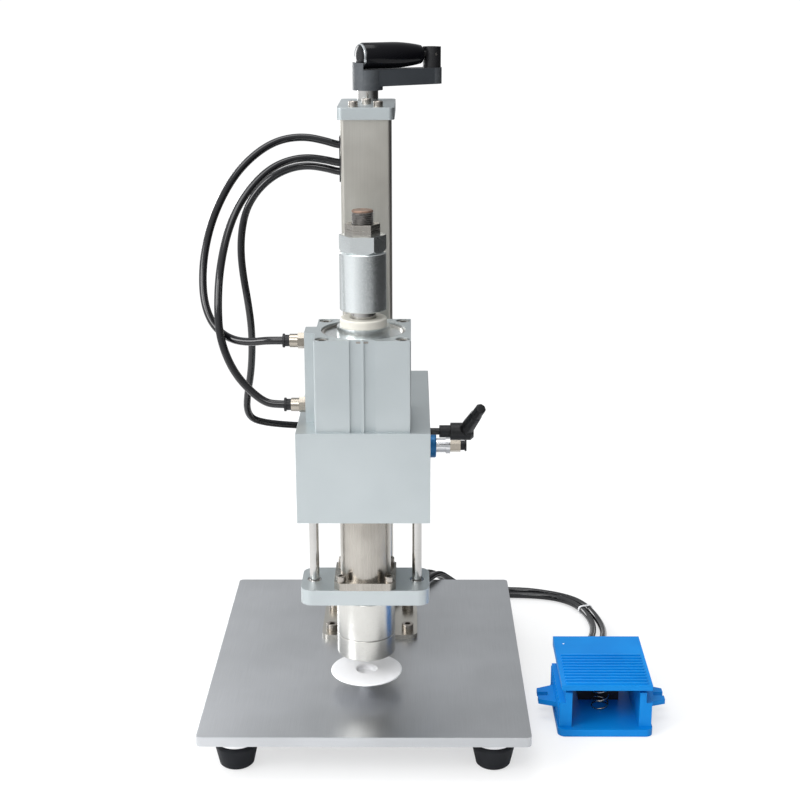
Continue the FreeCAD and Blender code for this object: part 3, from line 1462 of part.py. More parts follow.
FLOOR_OUTLET_HOSE = [
    (243.5, 92, 24), (243.5, 101, 24), (245.5, 118, 24.5), (250.5, 142, 23), (258.5, 172, 18.5),
    (265.5, 203, 12), (269.3, 235, 7), (267.9, 261.6, TIE_LEVEL), (262.2, 284, TIE_LEVEL),
    (254.2, 300.8, TIE_LEVEL), (243.6, 315, 4.4), (229.6, 324.1, 4.2), (212.5, 329, 4.2),
    (194.5, 331.5, 4.2), (176, 332.5, 4.2), (157, 332.5, 4.4), (138, 331, 6), (121, 326, 13),
    (107, 317, 25), (95, 306, 38), (84, 294, 50.5), (74, 277, 54.6), (63.5, 258, 53.6), (53, 240, 53.4),
    (42.5, 224, 54.5), (32.5, 210, 58.5), (24.5, 200, 62.5), (18.5, 192, 66), (17, 184, 68),
    (17, 174, 68),
]
COLUMN_OUTLET_HOSE = [
    (TEE_FACE, 151, 599), (17, 151, 599), (17, 151, 68), (17, 174, 68),
]
COLUMN_SUPPLY_HOSE = [
    (-12, 151.5, 561), (-12, 151.5, 96), (-3, 153, 74), (8, 160, 68), (8, 174, 68),
]


def tube_path(points):
    """Straight runs through the points, joined by tangent arcs; also the smallest radius."""
    spots = [FreeCAD.Vector(*point) for point in points]
    edges = []
    start = spots[0]
    radii = []
    for before, corner, after in zip(spots, spots[1:], spots[2:]):
        first = (corner - before).normalize()
        second = (after - corner).normalize()
        half = first.getAngle(second) / 2
        shorter = min((corner - before).Length, (after - corner).Length)
        reach = 0.45 * shorter
        radius = reach / math.tan(half)
        radii.append(radius)
        enter = corner - first * reach
        leave = corner + second * reach
        inward = (second - first).normalize()
        middle = corner + inward * (radius / math.cos(half) - radius)
        edges.append(Part.LineSegment(start, enter).toShape())
        edges.append(Part.Arc(enter, middle, leave).toShape())
        start = leave
    edges.append(Part.LineSegment(start, spots[-1]).toShape())
    return Part.Wire(edges), min(radii)


def hose_solid(points, label):
    """A round tube along a route, with its volume compared with its section and length."""
    path, smallest = tube_path(points)
    start = path.Edges[0].Vertexes[0].Point
    way = path.Edges[0].Vertexes[-1].Point - start
    radius = size("hose_radius")
    circle = Part.Wire([Part.Circle(start, way, radius).toShape()])
    solid = path.makePipeShell([circle], True, False)
    wanted = math.pi * radius ** 2 * path.Length
    print(f"{label}: length {path.Length:.0f}, smallest radius {smallest:.1f}, "
          f"volume {solid.Volume / wanted:.4f} of its section times its length")
    assert abs(solid.Volume / wanted - 1) < 0.01, label
    return solid


def amount(text):
    """The value of an expression of sizes."""
    SHEET.set("D1", "=" + text)
    SHEET.recompute()
    return float(SHEET.get("D1"))


def fitted(points, start_rise, end_rise):
    """The drawn route with its two ends raised, and the rest shared out between them."""
    first = amount(start_rise)
    last = amount(end_rise)
    count = len(points) - 1
    return [
        (x, y, z + first + (last - first) * index / count)
        for index, (x, y, z) in enumerate(points)
    ]


def raised(points, rise):
    """The drawn route of a hose in the column, its upper end raised with the column's top."""
    middle = size("column_height") / 2
    return [(x, y, z + rise if z > middle else z) for x, y, z in points]


def hose(label, points, start_rise="0", end_rise="0"):
    """One hose as a sub-part, its ends raised with the parts that they enter."""
    item = DOC.addObject("Part::Feature", label)
    item.Shape = hose_solid(fitted(points, start_rise, end_rise), label)
    keep(item, label)


def hoses():
    """All hoses, the tee that joins two of them in the column, and the tie at the floor."""
    tee_rise = f"({COLUMN_TOP} - {DRAWN_COLUMN_TOP})"
    hose("upper_hose", UPPER_HOSE, tee_rise, f"{CYLINDER_TOP} - port_inset - {UPPER_HOSE[-1][2]}")
    hose("lower_hose", LOWER_HOSE, tee_rise, f"{BLOCK_TOP} + port_inset + port_lift - {LOWER_HOSE[-1][2]}")
    hose("supply_hose", SUPPLY_HOSE, tee_rise, f"{VALVE_Z} - {SUPPLY_HOSE[-1][2]}")
    hose("floor_supply_hose", FLOOR_SUPPLY_HOSE)
    hose("floor_outlet_hose", FLOOR_OUTLET_HOSE)
    inner = DOC.addObject("Part::Feature", "column_hoses")
    lifted = amount(tee_rise)
    inner.Shape = Part.Compound([
        hose_solid(raised(COLUMN_OUTLET_HOSE, lifted), "column outlet hose"),
        hose_solid(raised(COLUMN_SUPPLY_HOSE, lifted), "column supply hose"),
    ])
    keep(inner, "column_hoses")
    tee = DOC.addObject("Part::Box", "hose_tee")
    bind(tee, "Length", "tee_length")
    bind(tee, "Width", "tee_width")
    bind(tee, "Height", "tee_height")
    place(tee, (str(TEE_FACE), "tee_front", f"{COLUMN_TOP} - tee_drop"))
    keep(tee, "hose_tee")
    tie = DOC.addObject("Part::Feature", "hose_tie")
    floor_hoses = (FLOOR_SUPPLY_HOSE, FLOOR_OUTLET_HOSE)
    tie.Shape = hose_tie(*(bend_at(route, tie_corner(route)) for route in floor_hoses))
    keep(tie, "hose_tie")


def tie_corner(points):
    """Which of a floor hose's points is the middle one of the three at the tie's level."""
    return [point[2] for point in points].index(TIE_LEVEL) + 1


def bend_at(points, corner):
    """Where a hose runs past one corner of its route, and its direction there."""
    arc = tube_path(points)[0].OrderedEdges[2 * corner - 1]
    middle = (arc.FirstParameter + arc.LastParameter) / 2
    return arc.valueAt(middle), arc.tangentAt(middle)


def hose_tie(first, second):
    """A thin flat band round the two floor hoses, where they lie side by side."""
    middle = (first[0] + second[0]) * 0.5
    along = (first[1] + second[1]).normalize()
    across = along.cross(FreeCAD.Vector(0, 0, 1)).normalize()
    radius = size("hose_radius") + size("tie_clear")
    half = abs((first[0] - second[0]).dot(across)) / 2

    def loop(grown):
        up = FreeCAD.Vector(0, 0, 1)
        left = middle - across * half
        right = middle + across * half
        reach = radius + grown
        return Part.Wire([
            Part.LineSegment(left + up * reach, right + up * reach).toShape(),
            Part.Arc(right + up * reach, right + across * reach, right - up * reach).toShape(),
            Part.LineSegment(right - up * reach, left - up * reach).toShape(),
            Part.Arc(left - up * reach, left - across * reach, left + up * reach).toShape(),
        ])

    width = size("tie_width")
    band = Part.Face(loop(size("tie_thick"))).cut(Part.Face(loop(0)))
    solid = band.extrude(along * width)
    solid.translate(along * (-width / 2))
    return solid


def check():
    """Stop if an object failed, a cut removed nothing, or a sub-part is not a valid solid."""
    for item in DOC.Objects:
        if "Invalid" in item.State or "Error" in item.State:
            raise RuntimeError(f"{item.Name} failed: {item.State}")
        if item.TypeId in ("PartDesign::Pocket", "PartDesign::Groove"):
            removed = item.BaseFeature.Shape.Volume - item.Shape.Volume
            if removed < 1e-3:
                raise RuntimeError(f"{item.Name} cuts nothing")
    for item in PARTS:
        if item.Shape.isNull() or not item.Shape.isValid() or not item.Shape.Solids:
            raise RuntimeError(f"{item.Label} is not a valid solid")


def main():
    """Build every sub-part, check it and write it."""
    base_plate()
    feet()
    column()
    flange_screws()
    column_cap()
    screw_bearings()
    hose_grommets()
    bottle_seat()
    lead_screw()
    crank_arm()
    grip_pivot()
    grip_stem()
    grip()
    carriage_block()
    lifting_nut()
    guide_bushes()
    cylinder_barrel()
    cylinder_covers()
    snap_ring()
    cylinder_screws()
    bumper_pad()
    push_in_fittings()
    slide_valve()
    piston_and_rod()
    stroke_stop()
    ram_tube()
    ram_flange_screws()
    tool_plate()
    guide_rods()
    crimp_head()
    presser()
    clamp()
    pedal_base()
    pedal_treadle()
    pedal_inside()
    hoses()
    DOC.recompute()
    check()
    os.makedirs("parts", exist_ok=True)
    for item in PARTS:
        item.Shape.exportStep(f"parts/{item.Label}.step")
    print(len(PARTS), "sub-parts written")


main()
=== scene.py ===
"""Vial capping press: its looks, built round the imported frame.

Metres, +Z up, in the frame's own axes: the origin lies on the floor under the crimping axis,
+Y runs from the operator to the column and +X is the operator's right.
"""

import json
import logging
import math
from dataclasses import dataclass, field
from enum import Enum

import bpy
from mathutils import Matrix, Vector

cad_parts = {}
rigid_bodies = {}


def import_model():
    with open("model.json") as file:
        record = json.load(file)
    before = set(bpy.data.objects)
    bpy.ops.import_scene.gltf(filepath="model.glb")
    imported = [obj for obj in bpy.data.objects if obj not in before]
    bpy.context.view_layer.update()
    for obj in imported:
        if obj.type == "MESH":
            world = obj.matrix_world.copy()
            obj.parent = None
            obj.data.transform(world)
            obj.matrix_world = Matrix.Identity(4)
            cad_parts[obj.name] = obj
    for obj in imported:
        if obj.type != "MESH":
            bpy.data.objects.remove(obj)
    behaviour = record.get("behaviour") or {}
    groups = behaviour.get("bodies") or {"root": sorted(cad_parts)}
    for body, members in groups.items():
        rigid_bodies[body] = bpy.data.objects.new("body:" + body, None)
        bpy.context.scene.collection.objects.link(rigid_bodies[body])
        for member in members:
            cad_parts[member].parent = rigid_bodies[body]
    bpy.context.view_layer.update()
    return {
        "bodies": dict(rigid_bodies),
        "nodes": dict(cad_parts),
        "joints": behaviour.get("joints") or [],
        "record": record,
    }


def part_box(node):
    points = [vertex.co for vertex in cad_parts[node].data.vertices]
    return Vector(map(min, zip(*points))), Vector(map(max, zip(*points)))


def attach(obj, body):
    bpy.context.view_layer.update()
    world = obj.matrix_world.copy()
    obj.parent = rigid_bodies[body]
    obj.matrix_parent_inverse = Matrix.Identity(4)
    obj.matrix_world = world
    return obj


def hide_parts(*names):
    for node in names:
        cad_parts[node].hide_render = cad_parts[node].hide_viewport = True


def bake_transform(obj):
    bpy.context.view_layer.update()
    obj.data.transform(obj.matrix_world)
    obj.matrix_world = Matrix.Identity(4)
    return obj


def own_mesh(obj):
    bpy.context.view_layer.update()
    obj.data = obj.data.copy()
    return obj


LOG = logging.getLogger("capping_press")
MM = 0.001
Colour = tuple[float, float, float]
Point = tuple[float, float, float]
VECTOR, FLOAT, COLOUR = "NodeSocketVector", "NodeSocketFloat", "NodeSocketColor"
BUMP_HEIGHT = 0.2 * MM
BARE_METAL = (0.55, 0.55, 0.54, 1)


class Grain(Enum):
    """Which way the fine lines of a machined face run."""

    NONE = (0.0, 0.0, 0.0)
    ALONG_Y = (1.0, 0.012, 1.0)
    ALONG_Z = (1.0, 1.0, 0.012)
    RINGS = (0.02, 0.02, 1.0)


@dataclass(frozen=True)
class Finish:
    """One surface finish, with the values that its material is made from."""

    slot: str
    tone: Colour
    shade: Colour
    metallic: float = 1.0
    roughness: float = 0.35
    spread: float = 0.08
    grain: Grain = Grain.NONE
    pitch: float = 1400.0
    depth: float = 0.12
    speckle_scale: float = 900.0
    speckle_depth: float = 0.05
    mottle_scale: float = 14.0
    mottle: float = 0.5
    wear: float = 0.0
    specular: float = 0.5


FINISHES = (
    Finish("brushed_plate", (0.60, 0.61, 0.63), (0.40, 0.41, 0.42), roughness=0.33, grain=Grain.ALONG_Y,
           pitch=1500, depth=0.30, mottle_scale=7, mottle=0.45),
    Finish("column_steel", (0.62, 0.60, 0.55), (0.40, 0.38, 0.34), roughness=0.33, grain=Grain.ALONG_Z,
           pitch=760, depth=0.38, mottle=0.45),
    Finish("spacer_steel", (0.82, 0.82, 0.83), (0.56, 0.56, 0.57), roughness=0.20, grain=Grain.RINGS),
    Finish("foot_rubber", (0.010, 0.011, 0.014), (0.024, 0.025, 0.028), metallic=0, roughness=0.55,
           speckle_scale=1600, speckle_depth=0.25, specular=0.15),
    Finish("satin_aluminium", (0.52, 0.56, 0.57), (0.42, 0.46, 0.47), metallic=0.85, roughness=0.42,
           speckle_scale=2600, speckle_depth=0.10, mottle=0.5, mottle_scale=9),
    Finish("turned_aluminium", (0.74, 0.77, 0.77), (0.56, 0.59, 0.59), roughness=0.27,
           speckle_scale=2400, speckle_depth=0.02, spread=0.03, mottle=0.1),
    Finish("bright_steel", (0.56, 0.55, 0.53), (0.42, 0.41, 0.40), roughness=0.16, grain=Grain.RINGS,
           depth=0.04),
    Finish("screw_steel", (0.52, 0.49, 0.45), (0.26, 0.23, 0.20), roughness=0.28, grain=Grain.RINGS,
           wear=0.3),
    Finish("ram_steel", (0.52, 0.49, 0.45), (0.30, 0.28, 0.25), roughness=0.27, grain=Grain.ALONG_Z,
           pitch=900, depth=0.05, spread=0.05, mottle=0.6),
    Finish("head_steel", (0.60, 0.59, 0.56), (0.38, 0.37, 0.35), roughness=0.27,
           speckle_scale=1800, speckle_depth=0.02, spread=0.03, mottle_scale=30, mottle=0.15),
    Finish("bronze", (0.52, 0.34, 0.15), (0.35, 0.21, 0.09), roughness=0.34, grain=Grain.RINGS),
    Finish("nickel", (0.50, 0.46, 0.40), (0.26, 0.23, 0.19), roughness=0.22, grain=Grain.RINGS,
           depth=0.05),
    Finish("white_plastic", (0.94, 0.94, 0.95), (0.88, 0.88, 0.90), metallic=0, roughness=0.38,
           mottle=0.35),
    Finish("pale_plastic", (0.72, 0.69, 0.62), (0.60, 0.57, 0.50), metallic=0, roughness=0.45),
    Finish("black_plastic", (0.008, 0.008, 0.009), (0.018, 0.018, 0.020), metallic=0, roughness=0.42,
           speckle_scale=1500, speckle_depth=0.22, specular=0.35),
    Finish("grip_plastic", (0.003, 0.003, 0.004), (0.006, 0.006, 0.008), metallic=0, roughness=0.14,
           speckle_depth=0.02, specular=0.16),
    Finish("grip_end", (0.52, 0.54, 0.55), (0.36, 0.38, 0.39), metallic=0.9, roughness=0.24),
    Finish("crank_paint", (0.052, 0.058, 0.066), (0.085, 0.094, 0.104), metallic=0.35, roughness=0.46,
           speckle_scale=1300, speckle_depth=0.35, wear=0.5, specular=0.35),
    Finish("black_steel", (0.012, 0.012, 0.013), (0.032, 0.031, 0.030), metallic=0.5, roughness=0.36,
           wear=0.35, specular=0.4),
    Finish("spring_steel", (0.55, 0.50, 0.42), (0.30, 0.27, 0.22), roughness=0.26),
    Finish("blue_anodised", (0.006, 0.17, 0.42), (0.004, 0.11, 0.30), metallic=0.35, roughness=0.32,
           grain=Grain.RINGS, pitch=1200),
    Finish("pedal_blue", (0.002, 0.225, 0.640), (0.001, 0.165, 0.540), metallic=0, roughness=0.40,
           speckle_scale=1700, speckle_depth=0.14, mottle_scale=20, mottle=0.5, specular=0.16),
    # valve_block: its near-black tone is painted shade, standing for the dark inside of the pedal base
    # behind the spring
    Finish("valve_block", (0.035, 0.035, 0.038), (0.020, 0.020, 0.022), metallic=0.8, roughness=0.5,
           speckle_scale=900, speckle_depth=0.3),
    Finish("hose_black", (0.004, 0.004, 0.005), (0.009, 0.009, 0.011), metallic=0, roughness=0.10,
           spread=0.03, speckle_depth=0.01, specular=0.5),
)
DARK_THREAD = Finish("screw_steel", (0.24, 0.23, 0.22), (0.10, 0.09, 0.085), metallic=0.9, roughness=0.34,
                     mottle_scale=240, mottle=0.8, speckle_depth=0.1)
RUSTY = Finish("screw_steel", (0.30, 0.20, 0.15), (0.13, 0.085, 0.065), metallic=0.8, roughness=0.5,
               mottle_scale=180, mottle=0.9, speckle_depth=0.3)


def add(name: str, data: bpy.types.ID) -> bpy.types.Object:
    """Put a new object into the scene.

    Args:
        name: The object's name.
        data: Its mesh, curve, light or camera.

    Returns:
        The object.
    """
    item = bpy.data.objects.new(name, data)
    bpy.context.scene.collection.objects.link(item)
    return item


class NodeGroup:
    """A shader node group with its sockets, and the nodes that several groups need."""

    def __init__(self, name: str, inputs: tuple, outputs: tuple) -> None:
        """Make the group.

        Args:
            name: The group's name.
            inputs: Pairs of socket name and socket type.
            outputs: Pairs of socket name and socket type.
        """
        self.tree = bpy.data.node_groups.new(name, "ShaderNodeTree")
        for title, kind in inputs:
            self.tree.interface.new_socket(title, in_out="INPUT", socket_type=kind)
        for title, kind in outputs:
            self.tree.interface.new_socket(title, in_out="OUTPUT", socket_type=kind)
        self.given = self.tree.nodes.new("NodeGroupInput").outputs
        self.out = self.tree.nodes.new("NodeGroupOutput").inputs
        self.link = self.tree.links.new

    def noise(self, detail: float, vector: bpy.types.NodeSocket | None = None) -> bpy.types.Node:
        """A noise on a vector, which is the group's own where none is given."""
        node = self.tree.nodes.new("ShaderNodeTexNoise")
        node.inputs["Detail"].default_value = detail
        self.link(self.given["Vector"] if vector is None else vector, node.inputs["Vector"])
        return node

    def bump(self, noise: bpy.types.Node) -> bpy.types.Node:
        """A normal that follows a noise as strongly as the group's Depth says."""
        node = self.tree.nodes.new("ShaderNodeBump")
        node.inputs["Distance"].default_value = BUMP_HEIGHT
        self.link(noise.outputs["Fac"], node.inputs["Height"])
        self.link(self.given["Depth"], node.inputs["Strength"])
        return node

    def ramp(self, value: bpy.types.NodeSocket, low: float, high: float) -> bpy.types.NodeSocket:
        """A value as a share of the way from low to high."""
        node = self.tree.nodes.new("ShaderNodeMapRange")
        node.inputs["From Min"].default_value = low
        node.inputs["From Max"].default_value = high
        self.link(value, node.inputs["Value"])
        return node.outputs["Result"]

    def combine(self, operation: str, first: bpy.types.NodeSocket, second: bpy.types.NodeSocket,
                clamp: bool = False) -> bpy.types.NodeSocket:
        """Two values put together.

        Args:
            operation: What is done with them.
            first: The first value.
            second: The second value.
            clamp: Whether the result is held between 0 and 1.

        Returns:
            The result's socket.
        """
        node = self.tree.nodes.new("ShaderNodeMath")
        node.operation = operation
        node.use_clamp = clamp
        self.link(first, node.inputs[0])
        self.link(second, node.inputs[1])
        return node.outputs[0]

    def lay_over(self, value: bpy.types.NodeSocket, below: str, above: str) -> None:
        """Put out one given colour with another laid over it.

        Args:
            value: Where the upper colour shows, before the group's Amount weakens it.
            below: The input that holds the lower colour.
            above: The input that holds the upper colour.
        """
        share = self.combine("MULTIPLY", value, self.given["Amount"], clamp=True)
        mix = self.tree.nodes.new("ShaderNodeMix")
        mix.data_type = "RGBA"
        self.link(share, mix.inputs["Factor"])
        self.link(self.given[below], mix.inputs["A"])
        self.link(self.given[above], mix.inputs["B"])
        self.link(mix.outputs["Result"], self.out["Color"])


class MaterialShop:
    """Builds the shared node groups once, and a material for each finish."""

    def __init__(self) -> None:
        """Make the groups that every finish shares."""
        self.grain_group = self._make_grain()
        self.tint_group = self._make_tint()
        self.speckle_group = self._make_speckle()
        self.wear_group = self._make_wear()
        self.made: dict[str, bpy.types.Material] = {}

    @staticmethod
    def _make_grain() -> bpy.types.NodeTree:
        """Fine machined lines: a stretched noise as a streak value and a normal."""
        group = NodeGroup("fine_grain", (("Vector", VECTOR), ("Stretch", VECTOR), ("Depth", FLOAT)),
                          (("Streak", FLOAT), ("Normal", VECTOR)))
        stretch = group.tree.nodes.new("ShaderNodeVectorMath")
        stretch.operation = "MULTIPLY"
        group.link(group.given["Vector"], stretch.inputs[0])
        group.link(group.given["Stretch"], stretch.inputs[1])
        noise = group.noise(4.0, stretch.outputs[0])
        noise.inputs["Scale"].default_value = 1.0
        noise.inputs["Roughness"].default_value = 0.65
        group.link(noise.outputs["Fac"], group.out["Streak"])
        group.link(group.bump(noise).outputs["Normal"], group.out["Normal"])
        return group.tree

    @staticmethod
    def _make_tint() -> bpy.types.NodeTree:
        """Soft clouds and streaks of a second tone."""
        group = NodeGroup("cloudy_tint", (
            ("Vector", VECTOR), ("Scale", FLOAT), ("Tone", COLOUR), ("Shade", COLOUR),
            ("Streak", FLOAT), ("Amount", FLOAT)), (("Color", COLOUR),))
        noise = group.noise(3.0)
        group.link(group.given["Scale"], noise.inputs["Scale"])
        clouds = group.ramp(noise.outputs["Fac"], 0.36, 0.66)
        group.lay_over(group.combine("ADD", clouds, group.given["Streak"]), "Tone", "Shade")
        return group.tree

    @staticmethod
    def _make_speckle() -> bpy.types.NodeTree:
        """The fine texture of moulded or coated faces, laid over another normal."""
        group = NodeGroup("fine_speckle", (
            ("Vector", VECTOR), ("Scale", FLOAT), ("Depth", FLOAT), ("Normal", VECTOR)),
            (("Normal", VECTOR), ("Value", FLOAT)))
        noise = group.noise(2.0)
        group.link(group.given["Scale"], noise.inputs["Scale"])
        bump = group.bump(noise)
        group.link(group.given["Normal"], bump.inputs["Normal"])
        group.link(bump.outputs["Normal"], group.out["Normal"])
        group.link(noise.outputs["Fac"], group.out["Value"])
        return group.tree

    @staticmethod
    def _make_wear() -> bpy.types.NodeTree:
        """Rubbed corners: lighter where the surface is sharply convex."""
        group = NodeGroup("rubbed_edges", (
            ("Color", COLOUR), ("Bare", COLOUR), ("Amount", FLOAT), ("Vector", VECTOR)),
            (("Color", COLOUR),))
        shape = group.tree.nodes.new("ShaderNodeNewGeometry")
        edge = group.ramp(shape.outputs["Pointiness"], 0.52, 0.62)
        noise = group.noise(2.0)
        noise.inputs["Scale"].default_value = 260.0
        group.lay_over(group.combine("MULTIPLY", edge, noise.outputs["Fac"]), "Color", "Bare")
        return group.tree

    @staticmethod
    def _place(tree: bpy.types.NodeTree, group: bpy.types.NodeTree) -> bpy.types.Node:
        """A group's node in a material's tree."""
        node = tree.nodes.new("ShaderNodeGroup")
        node.node_tree = group
        return node

    def material(self, finish: Finish, name: str | None = None) -> bpy.types.Material:
        """The material of a finish, made at its first use.

        Args:
            finish: The finish to make.
            name: The material's name, where it isn't the slot's.

        Returns:
            The material.
        """
        title = name or finish.slot
        if title in self.made:
            return self.made[title]
        material = bpy.data.materials.new(title)
        material.use_nodes = True
        tree = material.node_tree
        shader = tree.nodes["Principled BSDF"]
        shader.inputs["Metallic"].default_value = finish.metallic
        shader.inputs["Specular IOR Level"].default_value = finish.specular
        place = tree.nodes.new("ShaderNodeTexCoord").outputs["Object"]
        grain = self._place(tree, self.grain_group)
        grain.inputs["Stretch"].default_value = [finish.pitch * part for part in finish.grain.value]
        grain.inputs["Depth"].default_value = finish.depth if finish.grain is not Grain.NONE else 0.0
        tint = self._place(tree, self.tint_group)
        tint.inputs["Scale"].default_value = finish.mottle_scale
        tint.inputs["Tone"].default_value = (*finish.tone, 1)
        tint.inputs["Shade"].default_value = (*finish.shade, 1)
        tint.inputs["Amount"].default_value = finish.mottle
        wear = self._place(tree, self.wear_group)
        wear.inputs["Bare"].default_value = BARE_METAL
        wear.inputs["Amount"].default_value = finish.wear
        speckle = self._place(tree, self.speckle_group)
        speckle.inputs["Scale"].default_value = finish.speckle_scale
        speckle.inputs["Depth"].default_value = finish.speckle_depth
        rough = tree.nodes.new("ShaderNodeMapRange")
        rough.inputs["To Min"].default_value = finish.roughness - finish.spread
        rough.inputs["To Max"].default_value = finish.roughness + finish.spread
        link = tree.links.new
        for node in (grain, tint, wear, speckle):
            link(place, node.inputs["Vector"])
        source = grain.outputs["Streak"] if finish.grain is not Grain.NONE else speckle.outputs["Value"]
        if finish.grain is not Grain.NONE:
            link(grain.outputs["Streak"], tint.inputs["Streak"])
        link(source, rough.inputs["Value"])
        link(tint.outputs["Color"], wear.inputs["Color"])
        link(wear.outputs["Color"], shader.inputs["Base Color"])
        link(grain.outputs["Normal"], speckle.inputs["Normal"])
        link(speckle.outputs["Normal"], shader.inputs["Normal"])
        link(rough.outputs["Result"], shader.inputs["Roughness"])
        self.made[title] = material
        return material


class Bench:
    """The workbench: shapes pieces with operators, dresses them and hangs them on their bodies."""

    def __init__(self, frame: dict) -> None:
        """Keep the frame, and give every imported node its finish.
        """
        self.frame = frame
        self.shop = MaterialShop()
        self.by_slot = {finish.slot: finish for finish in FINISHES}
        self.slot_of = {part["node"]: part["material_slot"] for part in frame["record"]["subparts"]}
        self.body_of = {
            node: body
            for body, nodes in frame["record"]["behaviour"]["bodies"].items()
            for node in nodes
        }
        for node, item in frame["nodes"].items():
            self.paint(item, self.slot_of[node])

    @staticmethod
    def clear() -> None:
        """Deselect everything."""
        if bpy.context.object and bpy.context.object.mode != "OBJECT":
            bpy.ops.object.mode_set(mode="OBJECT")
        bpy.ops.object.select_all(action="DESELECT")

    def pick(self, item: bpy.types.Object) -> None:
        """Make one object the only one selected, and active."""
        self.clear()
        item.select_set(True)
        bpy.context.view_layer.objects.active = item

    def paint(self, item: bpy.types.Object, slot: str, finish: Finish | None = None,
              name: str | None = None) -> None:
        """Give an object one material."""
        material = self.shop.material(finish or self.by_slot[slot], name)
        item.data.materials.clear()
        item.data.materials.append(material)

    def smooth(self, item: bpy.types.Object, angle: float = 32.0) -> None:
        """Shade smooth, except at edges sharper than the angle."""
        self.pick(item)
        bpy.ops.object.shade_smooth_by_angle(angle=math.radians(angle))

    def level(self, item: bpy.types.Object, angle: float = 32.0) -> None:
        """Shade smooth, with each large flat face lit as a flat one beside its rounded edges.

        Args:
            item: The object to shade.
            angle: Edges that turn more than this stay sharp.
        """
        self.smooth(item, angle)
        flat = item.modifiers.new("flat_faces", "WEIGHTED_NORMAL")
        flat.mode = "FACE_AREA"
        flat.weight = 100
        flat.keep_sharp = True
        bpy.ops.object.modifier_apply(modifier=flat.name)

    def round_edges(self, item: bpy.types.Object, width: float, segments: int = 2,
                    angle: float = 35.0) -> None:
        """Round an object's sharp edges, and apply it.

        Args:
            item: The object to round.
            width: The bevel's width in metres.
            segments: The faces across each bevel.
            angle: Edges that turn less than this stay as they are.
        """
        self.pick(item)
        bevel = item.modifiers.new("edges", "BEVEL")
        bevel.width = width
        bevel.segments = segments
        bevel.limit_method = "ANGLE"
        bevel.angle_limit = math.radians(angle)
        bpy.ops.object.modifier_apply(modifier=bevel.name)

    def copy_node(self, node: str, edge: float, name: str | None = None) -> bpy.types.Object:
        """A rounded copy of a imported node, which it then stands for.

        Args:
            node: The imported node.
            edge: How far its edges are rounded, in metres.
            name: The piece's name, where it isn't worked out from the node's.

        Returns:
            The new piece, painted and hung on its body.
        """
        source = self.frame["nodes"][node]
        item = add(name or f"{node}_finished", source.data.copy())
        self.pick(item)
        bpy.ops.mesh.customdata_custom_splitnormals_clear()
        bpy.ops.object.mode_set(mode="EDIT")
        bpy.ops.mesh.select_all(action="SELECT")
        bpy.ops.mesh.remove_doubles(threshold=2e-6)
        bpy.ops.mesh.dissolve_limited(angle_limit=math.radians(0.5))
        bpy.ops.object.mode_set(mode="OBJECT")
        self.round_edges(item, edge)
        self.level(item)
        self.hang(item, self.body_of[node], self.slot_of[node], (node,))
        return item

    def hang(self, item: bpy.types.Object, body: str, slot: str, nodes: tuple = (),
             finish: Finish | None = None, name: str | None = None) -> bpy.types.Object:
        """Paint a piece, hang it on a body and let it stand for nodes."""
        self.paint(item, slot, finish, name)
        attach(item, body)
        if nodes:
            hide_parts(*nodes)
        LOG.info("%s rides on %s, %d faces", item.name, body, len(item.data.polygons))
        return item

    def bar(self, name: str, low: Point, high: Point, edge: float = 0.0) -> bpy.types.Object:
        """A block between two corners, with its edges rounded."""
        self.clear()
        bpy.ops.mesh.primitive_cube_add(size=1)
        item = bpy.context.object
        item.name = name
        middle = [(a + b) / 2 for a, b in zip(low, high)]
        item.dimensions = [b - a for a, b in zip(low, high)]
        item.location = middle
        bpy.ops.object.transform_apply(location=True, rotation=False, scale=True)
        if edge:
            self.round_edges(item, edge)
        return item

    def turned(self, name: str, steps: list[tuple[float, float]], sides: int = 64) -> bpy.types.Object:
        """A turned piece about Z: a disc that is extruded up and resized step by step.

        Args:
            name: The piece's name.
            steps: Pairs of radius and height, from the bottom up.
            sides: The faces around.

        Returns:
            The closed piece, at the origin.
        """
        self.clear()
        radius, level = steps[0]
        bpy.ops.mesh.primitive_circle_add(vertices=sides, radius=radius, fill_type="NGON",
                                          location=(0, 0, level))
        item = bpy.context.object
        item.name = name
        bpy.ops.object.transform_apply(location=True, rotation=False, scale=False)
        bpy.ops.object.mode_set(mode="EDIT")
        bpy.ops.mesh.select_all(action="SELECT")
        for next_radius, next_level in steps[1:]:
            bpy.ops.mesh.extrude_region_move(TRANSFORM_OT_translate={"value": (0, 0, next_level - level)})
            share = next_radius / radius
            bpy.ops.transform.resize(value=(share, share, 1), center_override=(0, 0, next_level))
            radius, level = next_radius, next_level
        self.face_outward(item)
        return item

    def lathe(self, name: str, profile: list[tuple[float, float]], sides: int = 48) -> bpy.types.Object:
        """A ring about Z: a closed profile that is spun once round.

        Args:
            name: The piece's name.
            profile: Pairs of radius and height, round the ring's section.
            sides: The faces around.

        Returns:
            The closed ring, at the origin.
        """
        count = len(profile)
        loop = [(index, (index + 1) % count) for index in range(count)]
        item = self.section(name, [(radius, 0, level) for radius, level in profile], loop)
        self.spin(item, sides)
        return item

    def put(self, item: bpy.types.Object, matrix: Matrix) -> None:
        """Move a finished shape to its place, in its mesh."""
        item.data.transform(matrix)
        item.data.update()

    def join(self, items: list[bpy.types.Object], name: str) -> bpy.types.Object:
        """Join shapes into one piece."""
        self.pick(items[0])
        for item in items[1:]:
            item.select_set(True)
        bpy.ops.object.join()
        items[0].name = name
        return items[0]

    def joint(self, name: str) -> dict:
        """A joint of the frame, with its place and axis."""
        return next(joint for joint in self.frame["joints"] if joint["name"] == name)

    def section(self, name: str, corners: list[Point], edges: list[tuple]) -> bpy.types.Object:
        """A bare outline in the XZ plane, ready to be spun about Z."""
        mesh = bpy.data.meshes.new(name)
        mesh.from_pydata(corners, edges, [])
        item = add(name, mesh)
        self.pick(item)
        return item

